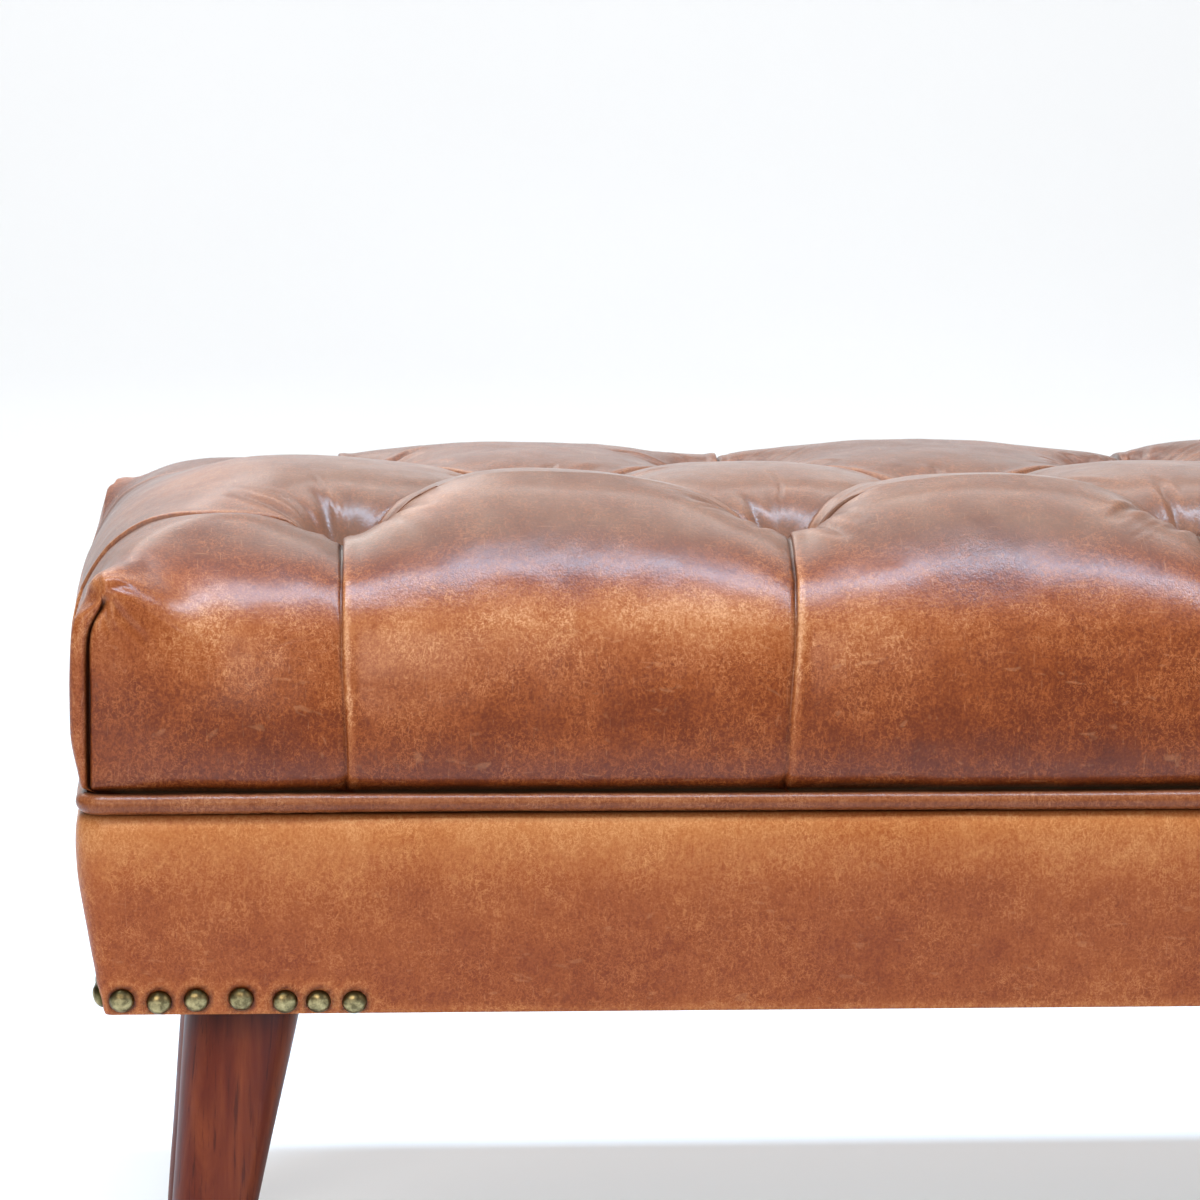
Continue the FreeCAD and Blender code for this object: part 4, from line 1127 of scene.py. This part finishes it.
# tufting buttons, deep in the hollows
bv, bf, bc, bp = [], [], [], []
for (x, y) in tufts:
    dx, dy = shifts.get((x, y), (0, 0))
    cx, cy = x + dx, y + dy
    floor = TOP_Z - TUFT_DEPTH - 1.0
    prof = [(0.0, 6.6), (2.5, 6.4), (5.0, 5.7), (7.4, 4.4), (9.3, 2.6), (10.2, 0.8), (10.0, -0.8), (9.0, -1.6), (0.0, -1.8)]
    n = 40
    rings = []
    for (r, z) in prof:
        pts = [(cx, cy, floor + z)] if r == 0.0 else [
            (cx + r * math.cos(2 * math.pi * k / n), cy + r * math.sin(2 * math.pi * k / n),
             floor + z + (0.25 * math.sin(9 * 2 * math.pi * k / n + x) * (r / 10.0) ** 3)) for k in range(n)]
        rings.append(list(range(len(bv), len(bv) + len(pts))))
        bv += pts
        # painted shade round each button's rim and underside in the hollow, faint over the button
        bc += [0.1 if r < 9 else 0.7] * len(pts)
        bp += [0.25 if 3 < r < 8 else 0.0] * len(pts)
    for a, b in zip(rings[:-1], rings[1:]):
        for k in range(n):
            k2 = (k + 1) % n
            if len(a) == 1:
                bf.append((a[0], b[k], b[k2]))
            elif len(b) == 1:
                bf.append((a[k], b[0], a[k2]))
            else:
                bf.append((a[k], b[k], b[k2], a[k2]))
buttons = new_mesh("leather_buttons", np.array(bv), bf, seat_leather, attributes={"crease_shade": bc, "pull_and_highlight": bp})
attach(buttons, "root")
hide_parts("tufting_buttons")

# ------------------------------------------------------- band round the box


def ring_path(half_x, half_y, radius, spacing_mm):
    """Rounded rectangle seen from above, counter-clockwise: points, outward normals, arc length."""
    pts, nor = [], []
    cx, cy = half_x - radius, half_y - radius
    corners = [(cx, cy, 0.0), (-cx, cy, 90.0), (-cx, -cy, 180.0), (cx, -cy, 270.0)]
    prev = None
    arcn = 14
    for (x, y, a0) in corners:
        arc = []
        for k in range(arcn + 1):
            a = math.radians(a0 + 90.0 * k / arcn)
            arc.append(((x + radius * math.cos(a), y + radius * math.sin(a)), (math.cos(a), math.sin(a))))
        if prev is not None:
            (p0, n0), (p1, _) = prev, arc[0]
            L = math.hypot(p1[0] - p0[0], p1[1] - p0[1])
            m = int(L / spacing_mm)
            for k in range(1, m):
                pts.append((p0[0] + (p1[0] - p0[0]) * k / m, p0[1] + (p1[1] - p0[1]) * k / m))
                nor.append(n0)
        for p, n in arc:
            pts.append(p)
            nor.append(n)
        prev = arc[-1]
    (p0, n0), p1 = prev, pts[0]
    L = math.hypot(p1[0] - p0[0], p1[1] - p0[1])
    m = int(L / spacing_mm)
    for k in range(1, m):
        pts.append((p0[0] + (p1[0] - p0[0]) * k / m, p0[1] + (p1[1] - p0[1]) * k / m))
        nor.append(n0)
    pts, nor = np.array(pts), np.array(nor)
    s = np.concatenate([[0], np.cumsum(np.linalg.norm(np.diff(pts, axis=0), axis=1))])
    return pts, nor, s


def sweep_ring(path, nor, section):
    """section is the closed section as (out, z) points, the same all round; returns verts and quads."""
    n, m = len(path), len(section)
    out = section[:, 0]
    z = section[:, 1]
    v = np.zeros((n, m, 3))
    v[:, :, 0] = path[:, None, 0] + nor[:, None, 0] * out[None, :]
    v[:, :, 1] = path[:, None, 1] + nor[:, None, 1] * out[None, :]
    v[:, :, 2] = z[None, :]
    g = np.arange(n * m).reshape(n, m)
    a, b = g, np.roll(g, -1, 0)
    c, d = np.roll(b, -1, 1), np.roll(a, -1, 1)
    return v, np.stack([a, b, c, d], -1).reshape(-1, 4)


fine = 2.6
path, nor, arc = ring_path(550.0, 200.0, 8.0, fine)
face_curve = [(-4.6, 199.8), (-4.2, 201.0), (-3.0, 205.0), (-0.2, 218.0), (3.0, 233.0), (6.3, 252.0), (8.6, 267.0),
              (9.6, 281.0), (9.4, 291.0), (8.2, 297.0), (6.4, 299.8), (4.6, 300.6)]
s_, q_ = spline(face_curve)
face_pts = np.stack([np.interp(np.linspace(0, s_[-1], 46), s_, q_[:, k]) for k in (0, 1)], 1)
inner_pts = face_pts[::-1][::4].copy()
inner_pts[:, 0] -= 1.7
inner_pts[:, 1] = np.clip(inner_pts[:, 1], 201.8, 298.9)
under = np.array([(-33.0, 201.6), (-33.6, 200.8), (-33.0, 200.1), (-20.0, 199.9), (-10.0, 199.8), (-6.2, 199.7)])
section = np.concatenate([face_pts, inner_pts, under])
bvv, bfq = sweep_ring(path, nor, section)
n_face = len(face_pts)
mask_face = np.zeros(len(section))
mask_face[:n_face] = np.sin(np.linspace(0.0, math.pi, n_face)) ** 0.35
mask_face[0] = mask_face[n_face - 1] = 0.0
NAIL_FROM_CORNER = (12.7, 30.7, 48.6, 70.2, 91.5, 107.7, 125.2)
NAIL_UP = (7.3, 6.3, 7.3, 7.8, 6.3, 6.3, 5.8)
NAIL_JITTER = (0, 1.1, -0.8, 0.6, -1.2, 0.9, -0.5)


class Nail:
    def __init__(self, group, front, sign, along, z):
        self.group, self.front, self.sign, self.along, self.z = group, front, sign, along, z


nails = []
for k, (gname, sx, sy) in enumerate((("front_left", -1, -1), ("front_right", 1, -1), ("rear_left", -1, 1), ("rear_right", 1, 1))):
    for i in range(7):
        a = NAIL_FROM_CORNER[i] + (NAIL_JITTER[(i + 2 * k) % 7] if k else 0)
        nails.append(Nail(gname, True, sy, sx * (550 - a), 200 + NAIL_UP[(i + k) % 7]))
        b = NAIL_FROM_CORNER[i] + NAIL_JITTER[(i + 3 + k) % 7]
        nails.append(Nail(gname, False, sx, sy * (200 - b), 200 + NAIL_UP[(i + 3 + k) % 7]))

flat = bvv.reshape(-1, 3)
fm = np.repeat(mask_face[None, :], len(path), 0).reshape(-1)
outn = np.repeat(nor[:, None, :], len(section), 1).reshape(-1, 2)
bump_band = 0.9 * fbm(flat, 150.0, 41, 3) + 0.35 * fbm(flat, 38.0, 47, 2)
bump_band *= fm
band_shade = np.zeros(len(flat))
band_pull = np.zeros(len(flat))


for n in nails:
    if n.front:
        d = np.hypot(flat[:, 0] - n.along, flat[:, 2] - n.z)
        on = (np.sign(flat[:, 1]) == n.sign) & (np.abs(flat[:, 1]) > 185)
    else:
        d = np.hypot(flat[:, 1] - n.along, flat[:, 2] - n.z)
        on = (np.sign(flat[:, 0]) == n.sign) & (np.abs(flat[:, 0]) > 535)
    w = on * (fm > 0)
    bump_band += w * (-1.3 * np.exp(-(d / 6.0) ** 2) + 0.35 * np.exp(-((d - 11.0) / 4.0) ** 2))
    # painted shade in a ring round each nail head
    band_shade = np.maximum(band_shade, w * 0.8 * np.exp(-((d - 6.2) / 1.3) ** 2))
    band_pull = np.maximum(band_pull, w * 0.55 * np.exp(-((d - 9.5) / 2.2) ** 2))
edge_rub = np.zeros(len(section))
edge_rub[:n_face] = np.interp(face_pts[:, 1], [199.8, 201.5, 205, 280, 294, 298, 300.6], [0.5, 0.5, 0.0, 0.0, 0.1, 0.1, 0.0])
band_pull = np.maximum(band_pull, np.repeat(edge_rub[None, :], len(path), 0).reshape(-1))
# painted light: the band lighter towards its top, which faces up to the lamps, and darker at the foot
band_painted_light = np.zeros(len(section))
band_painted_light[:n_face] = np.interp(face_pts[:, 1], [199, 215, 240, 262, 282, 296], [-0.12, -0.1, -0.04, 0.08, 0.42, 0.5])
band_painted_light = np.repeat(band_painted_light[None, :], len(path), 0).reshape(-1)
# painted shade along the band's top edge, under the piping
under_piping_shade = np.zeros(len(section))
under_piping_shade[:n_face] = np.interp(face_pts[:, 1], [296.5, 299.0, 300.6], [0.0, 0.5, 1.0])
band_shade = np.maximum(band_shade, np.repeat(under_piping_shade[None, :], len(path), 0).reshape(-1))
flat = flat.copy()
flat[:, :2] += outn * bump_band[:, None]
band = new_mesh("box_band", flat, bfq, band_leather, attributes={"tone_and_light": band_painted_light, "crease_shade": band_shade, "pull_and_highlight": band_pull})
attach(band, "root")
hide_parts("front_band_cover", "rear_band_cover", "left_band_cover", "right_band_cover",
            "front_band_padding", "rear_band_padding", "left_band_padding", "right_band_padding")

# -------------------------------------------------------------------- piping
ppath, pnor, parc = ring_path(553.5, 203.5, 9.0, 2.2)
n_sec = 20
ang = np.linspace(0, 2 * math.pi, n_sec, endpoint=False)
pz = 305.0
v = np.zeros((len(ppath), n_sec, 3))
where = np.stack([ppath[:, 0], ppath[:, 1], np.zeros(len(ppath))], 1)
# thicker towards the left end, thinner towards the middle of the front
thick = 4.9 + 0.5 * np.exp(-((ppath[:, 0] + 560) / 180.0) ** 2) + 0.28 * fbm(where, 120.0, 61, 2) \
    + 0.10 * fbm(where, 14.0, 67, 2)
rise = 0.35 * fbm(where, 160.0, 63, 2)
out_shift = 0.3 * fbm(where, 90.0, 65, 2)
for k, a in enumerate(ang):
    # a little flattened and tipped, as a cord lying between two edges
    ca, sa = math.cos(a), math.sin(a)
    r = thick * (1.0 + 0.05 * math.cos(2 * (a - 0.5)))
    v[:, k, 0] = ppath[:, 0] + pnor[:, 0] * (r * ca + out_shift)
    v[:, k, 1] = ppath[:, 1] + pnor[:, 1] * (r * ca + out_shift)
    v[:, k, 2] = pz + rise + r * sa * 0.98
flatp = v.reshape(-1, 3)
pin_wr = 0.18 * np.sin(value_noise(flatp * [1, 1, 0.3], 9.0, 71) * 6.0) * smooth(value_noise(flatp * [1, 1, 0], 60.0, 73) * 1.4)
cen = np.repeat(np.stack([ppath[:, 0], ppath[:, 1], pz + rise], 1)[:, None, :], n_sec, 1).reshape(-1, 3)
dirn = flatp - cen
dirn /= np.linalg.norm(dirn, axis=1, keepdims=True)
flatp = flatp + dirn * pin_wr[:, None]
gp = np.arange(len(ppath) * n_sec).reshape(len(ppath), n_sec)
a_, b_ = gp, np.roll(gp, -1, 0)
quads = np.stack([a_, b_, np.roll(b_, -1, 1), np.roll(a_, -1, 1)], -1).reshape(-1, 4)
# painted shade where the cord meets the cushion and the band and on its inner half; a painted highlight along its upper
# outer side
piping_shade = np.interp(np.abs(np.sin(ang)), [0.8, 0.97], [0.0, 0.9])
piping_shade = np.where(np.cos(ang) < 0.1, 1.0, piping_shade)
piping_highlight = np.clip(np.exp(-((ang - 0.45) / 0.5) ** 2), 0, 1) * 0.35
piping = new_mesh("seat_piping", flatp, quads, piping_leather,
                  attributes={"crease_shade": np.tile(piping_shade, len(ppath)), "pull_and_highlight": np.tile(piping_highlight, len(ppath))})
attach(piping, "root")
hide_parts(*[s + "_piping" for s in ("front", "rear", "left", "right")],
            *[s + "_piping_cord" for s in ("front", "rear", "left", "right")])

# --------------------------------------------------------------------- nails
by_group = {}
for n in nails:
    by_group.setdefault(n.group, []).append(n)
for key, group in by_group.items():
    nv, nf, nr = [], [], []
    for n in group:
        o0 = len(nv)
        R, H = 6.2, 4.2
        prof = [(0.0, H), (1.2, H * 0.985), (2.4, H * 0.93), (3.5, H * 0.83), (4.5, H * 0.68), (5.3, H * 0.48),
                (5.85, H * 0.27), (6.15, H * 0.10), (6.2, 0.0), (6.0, -0.35), (5.2, -0.5), (1.0, -0.55), (0.9, -9.0), (0.0, -10.5)]
        seg = 36
        zc = n.z
        ov = np.interp(zc, [200, 222], [-5.0, 1.0])
        nrm_o, nrm_z = 22 / 22.8, -6 / 22.8
        tilt1, tilt2 = rng.uniform(-0.05, 0.05, 2)
        ecc = rng.uniform(-0.25, 0.25, 2)
        rings = []
        for (r, h) in prof:
            pts = []
            m_ = 1 if r == 0.0 else seg
            for k in range(m_):
                a = 2 * math.pi * k / seg
                dent = 0.06 * math.sin(3 * a + n.along) * (r / R)
                al = r * math.cos(a) + ecc[0] * (1 - r / R)
                up = r * math.sin(a) + ecc[1] * (1 - r / R)
                hh = h + dent + tilt1 * al + tilt2 * up
                out = ov + nrm_o * (hh + 0.2) + 0.263 * up
                z = zc + nrm_z * (hh + 0.2) + 0.965 * up
                if n.front:
                    pts.append((n.along + al, n.sign * (200.0 + out), z))
                else:
                    pts.append((n.sign * (550.0 + out), n.along + al, z))
            rings.append(list(range(len(nv), len(nv) + len(pts))))
            nv += pts
            nr += [float(np.interp(r, [0, 4.2, 5.6, 6.2], [0.0, 0.12, 0.7, 1.0]))] * len(pts)
        for a, b in zip(rings[:-1], rings[1:]):
            for k in range(seg):
                k2 = (k + 1) % seg
                if len(a) == 1:
                    nf.append((a[0], b[k], b[k2]))
                elif len(b) == 1:
                    nf.append((a[k], b[0], a[k2]))
                else:
                    nf.append((a[k], b[k], b[k2], a[k2]))
    o = new_mesh(key + "_dome_nails", np.array(nv), nf, nail_brass, attributes={"rim": nr})
    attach(o, "root")
    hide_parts(key + "_nails")

# ---------------------------------------------------------------------- legs
tx, ty = math.tan(math.radians(8.2)), math.tan(math.radians(6.0))
for name, sx, sy in (("front_left", -1, -1), ("front_right", 1, -1), ("rear_left", -1, 1), ("rear_right", 1, 1)):
    down = np.array([sx * tx, sy * ty, -1.0])
    down /= np.linalg.norm(down)
    topc = np.array([sx * 477.0, sy * 130.0, 200.0])
    reach = 200.0 / -down[2]
    seg, rows = 64, 60
    e1 = np.cross(down, [0, 1.0, 0]); e1 /= np.linalg.norm(e1)
    e2 = np.cross(down, e1)
    lv = []
    ts = np.linspace(0, 1, rows + 1)
    for i, t in enumerate(ts):
        for k in range(seg):
            a = 2 * math.pi * k / seg
            r = 29.0 + (14.6 - 29.0) * t
            r += 0.12 * math.sin(2 * a + sx) + 0.08 * math.sin(5 * t * 3 + sy)
            p = topc + down * (reach * t) + (e1 * math.cos(a) + e2 * math.sin(a)) * r
            lv.append(p)
    lv = np.array(lv).reshape(rows + 1, seg, 3)
    # the ends are cut level: slide each rib along the axis direction to its plane
    zt, zb = 196.5, 3.0
    for i in range(rows + 1):
        t = ts[i]
        target = zt + (zb - zt) * t
        dz = lv[i, :, 2] - target
        lv[i] -= down[None, :] * (dz / down[2])[:, None]
    cb, ct = lv[-1].mean(0), lv[0].mean(0)
    # a small round at the foot and at the top
    def ring_in(ring, centre, shrink, z):
        q = centre + (ring - centre) * shrink
        q[:, 2] = z
        return q
    rings = [ring_in(lv[0], ct, 0.5, zt), ring_in(lv[0], ct, 0.965, zt), ring_in(lv[0], ct, 0.99, zt - 0.35)] \
        + [lv[i] for i in range(1, rows)] \
        + [ring_in(lv[-1], cb, 1.005, zb + 1.6), ring_in(lv[-1], cb, 0.985, zb + 0.6), ring_in(lv[-1], cb, 0.93, zb), ring_in(lv[-1], cb, 0.5, zb)]
    V = np.concatenate([ct[None]] + rings + [cb[None]])
    V[0, 2], V[-1, 2] = zt, zb
    F = []
    for k in range(seg):
        k2 = (k + 1) % seg
        F.append((0, 1 + k2, 1 + k))
        for i in range(len(rings) - 1):
            a, b = 1 + i * seg, 1 + (i + 1) * seg
            F.append((a + k, a + k2, b + k2, b + k))
        a = 1 + (len(rings) - 1) * seg
        F.append((a + k, a + k2, len(V) - 1))
    # painted shadow of the box over the tops of the legs
    shade = np.interp(V[:, 2], [176.0, 188.0, 197.0], [0.0, 0.45, 0.85])
    o = new_mesh(name + "_turned_leg", V, F, leg_wood, attributes={"shade": shade})
    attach(o, "root")
    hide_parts(name + "_leg")

# --------------------------------------------------------------- dust cover
nx, ny = 90, 34
gx = np.linspace(-530, 530, nx)
gy = np.linspace(-180, 180, ny)
GX, GY = np.meshgrid(gx, gy, indexing="ij")
pts = np.stack([GX.ravel(), GY.ravel(), np.zeros(nx * ny)], 1)
inner_ = smooth((530 - np.abs(GX)) / 60.0) * smooth((180 - np.abs(GY)) / 60.0)
sag = -3.2 * inner_.ravel() - 0.7 * fbm(pts, 90.0, 91, 3) * inner_.ravel()
# stays flat where the leg plates clamp it
for sx in (-1, 1):
    for sy in (-1, 1):
        r = np.maximum(np.abs(GX - sx * 477), np.abs(GY - sy * 130)).ravel()
        sag *= smooth((r - 38.0) / 46.0)
low_ = np.stack([GX.ravel(), GY.ravel(), 199.15 + sag], 1)
upp_ = low_ + [0, 0, 0.7]
g1 = np.arange(nx * ny).reshape(nx, ny)
g2 = g1 + nx * ny
q1 = np.stack([g1[:-1, :-1], g1[:-1, 1:], g1[1:, 1:], g1[1:, :-1]], -1).reshape(-1, 4)
q2 = np.stack([g2[:-1, :-1], g2[1:, :-1], g2[1:, 1:], g2[:-1, 1:]], -1).reshape(-1, 4)
rim = np.concatenate([g1[:, 0], g1[-1, 1:], g1[::-1, -1][1:], g1[0, ::-1][1:-1]])
rn = np.roll(rim, -1)
q3 = np.stack([rim, rn, rn + nx * ny, rim + nx * ny], 1)
dust = new_mesh("under_cloth", np.concatenate([low_, upp_]), np.concatenate([q1, q2, q3]), dust_cloth)
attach(dust, "root")
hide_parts("dust_cover")

# --------------------------------------------------- finish the CAD's nodes
finish_of = {"frame_wood": frame_wood, "plywood": plywood(), "steel": steel, "glide_nylon": nylon(),
             "twine": fibre, "anchor_fibre": fibre, "leg_wood": leg_wood, "nail_brass": nail_brass,
             "foam": fibre, "wadding": fibre, "piping_cord": fibre, "dust_cloth": dust_cloth,
             "seat_leather": seat_leather, "band_leather": band_leather, "piping_leather": piping_leather}
slot_of = {s["node"]: s["material_slot"] for s in frame["record"]["subparts"]}
for n, o in frame["nodes"].items():
    mat = finish_of[slot_of[n]]
    if not o.data.materials:
        o.data.materials.append(mat)
    for k in range(len(o.material_slots)):
        o.material_slots[k].link = "OBJECT"
        o.material_slots[k].material = mat

# ------------------------------------------------------ floor, lights, camera


def stage_floor():
    m = Nodes("studio_floor")
    n = m.noise(0.6, 2.0)
    m.base(m.ramp(n, [(0.3, (0.90, 0.90, 0.90)), (0.7, (0.93, 0.93, 0.93))]), 0.9)
    m.bsdf.inputs["Specular IOR Level"].default_value = 0.1
    # a wide floor that sweeps up behind
    xs_ = np.linspace(-9000, 9000, 5)
    ys_, zs_ = [-7000.0, 4500.0], [0.0, 0.0]
    for k in range(1, 25):
        a = math.radians(90.0 * k / 24)
        ys_.append(4500 + 2200 * math.sin(a))
        zs_.append(2200 * (1 - math.cos(a)))
    ys_.append(6700.0); zs_.append(9000.0)
    v = np.array([(x, y, z) for x in xs_ for y, z in zip(ys_, zs_)])
    k = len(ys_)
    g = np.arange(len(v)).reshape(5, k)
    q = np.stack([g[:-1, :-1], g[1:, :-1], g[1:, 1:], g[:-1, 1:]], -1).reshape(-1, 4)
    return new_mesh("studio_floor", v, q, m.mat)


floor = stage_floor()

sc = bpy.context.scene
world = bpy.data.worlds.new("studio") if sc.world is None else sc.world
sc.world = world
world.use_nodes = True
bg = world.node_tree.nodes.get("Background") or world.node_tree.nodes.new("ShaderNodeBackground")
bg.inputs[0].default_value = (0.95, 0.97, 1.0, 1.0)
bg.inputs[1].default_value = 0.15


def area(name, loc, target, size_x, size_y, power, colour=(1, 1, 1)):
    d = bpy.data.lights.new(name, "AREA")
    d.shape = "RECTANGLE"
    d.size, d.size_y = size_x, size_y
    d.energy = power
    d.color = colour
    o = bpy.data.objects.new(name, d)
    o.location = loc
    o.rotation_mode = "QUATERNION"
    o.rotation_quaternion = (Vector(target) - Vector(loc)).to_track_quat("-Z", "Y")
    sc.collection.objects.link(o)
    return o


area("overhead_softbox", (-0.15, -0.44, 2.35), (-0.15, -0.15, 0.4), 2.6, 0.2, 92, (0.54, 0.76, 1.0))
area("high_softbox", (-0.2, 1.1, 2.5), (-0.1, 0.1, 0.4), 2.8, 1.0, 20, (0.9, 0.96, 1.0))
area("front_softbox", (-1.6, -3.4, 2.0), (-0.2, 0.0, 0.3), 2.8, 2.0, 68, (1.0, 0.93, 0.84))
area("right_softbox", (3.0, -2.2, 1.8), (0.0, 0.0, 0.3), 1.6, 1.6, 14, (1.0, 0.97, 0.93))
area("rear_softbox", (-1.3, 2.2, 2.2), (-0.3, 0.2, 0.3), 1.8, 1.2, 20, (1.0, 0.97, 0.94))
area("backdrop_light", (0.0, 3.0, 4.2), (0.0, 6.2, 0.3), 7.0, 1.2, 190, (1.0, 1.0, 1.0))

cam_data = bpy.data.cameras.new("camera")
cam_data.sensor_fit = "HORIZONTAL"
cam_data.sensor_width = 36.0
cam_data.lens = 152.3
cam_data.clip_start, cam_data.clip_end = 0.05, 60.0
cam = bpy.data.objects.new("camera", cam_data)
sc.collection.objects.link(cam)
yaw, pitch, roll = math.radians(4.311), math.radians(8.559), math.radians(0.526)
fwd = Vector((math.sin(yaw) * math.cos(pitch), math.cos(yaw) * math.cos(pitch), -math.sin(pitch)))
right = Vector((math.cos(yaw), -math.sin(yaw), 0.0))
upv = right.cross(fwd)
r2 = right * math.cos(roll) + upv * math.sin(roll)
u2 = upv * math.cos(roll) - right * math.sin(roll)
from mathutils import Matrix
rot = Matrix((r2, u2, -fwd)).transposed()
cam.rotation_mode = "QUATERNION"
cam.rotation_quaternion = rot.to_quaternion()
cam.location = (-0.4888, -2.605, 0.7661)
sc.camera = cam

sc.view_settings.view_transform = "Standard"
sc.view_settings.look = "None"
sc.view_settings.exposure = 0.0
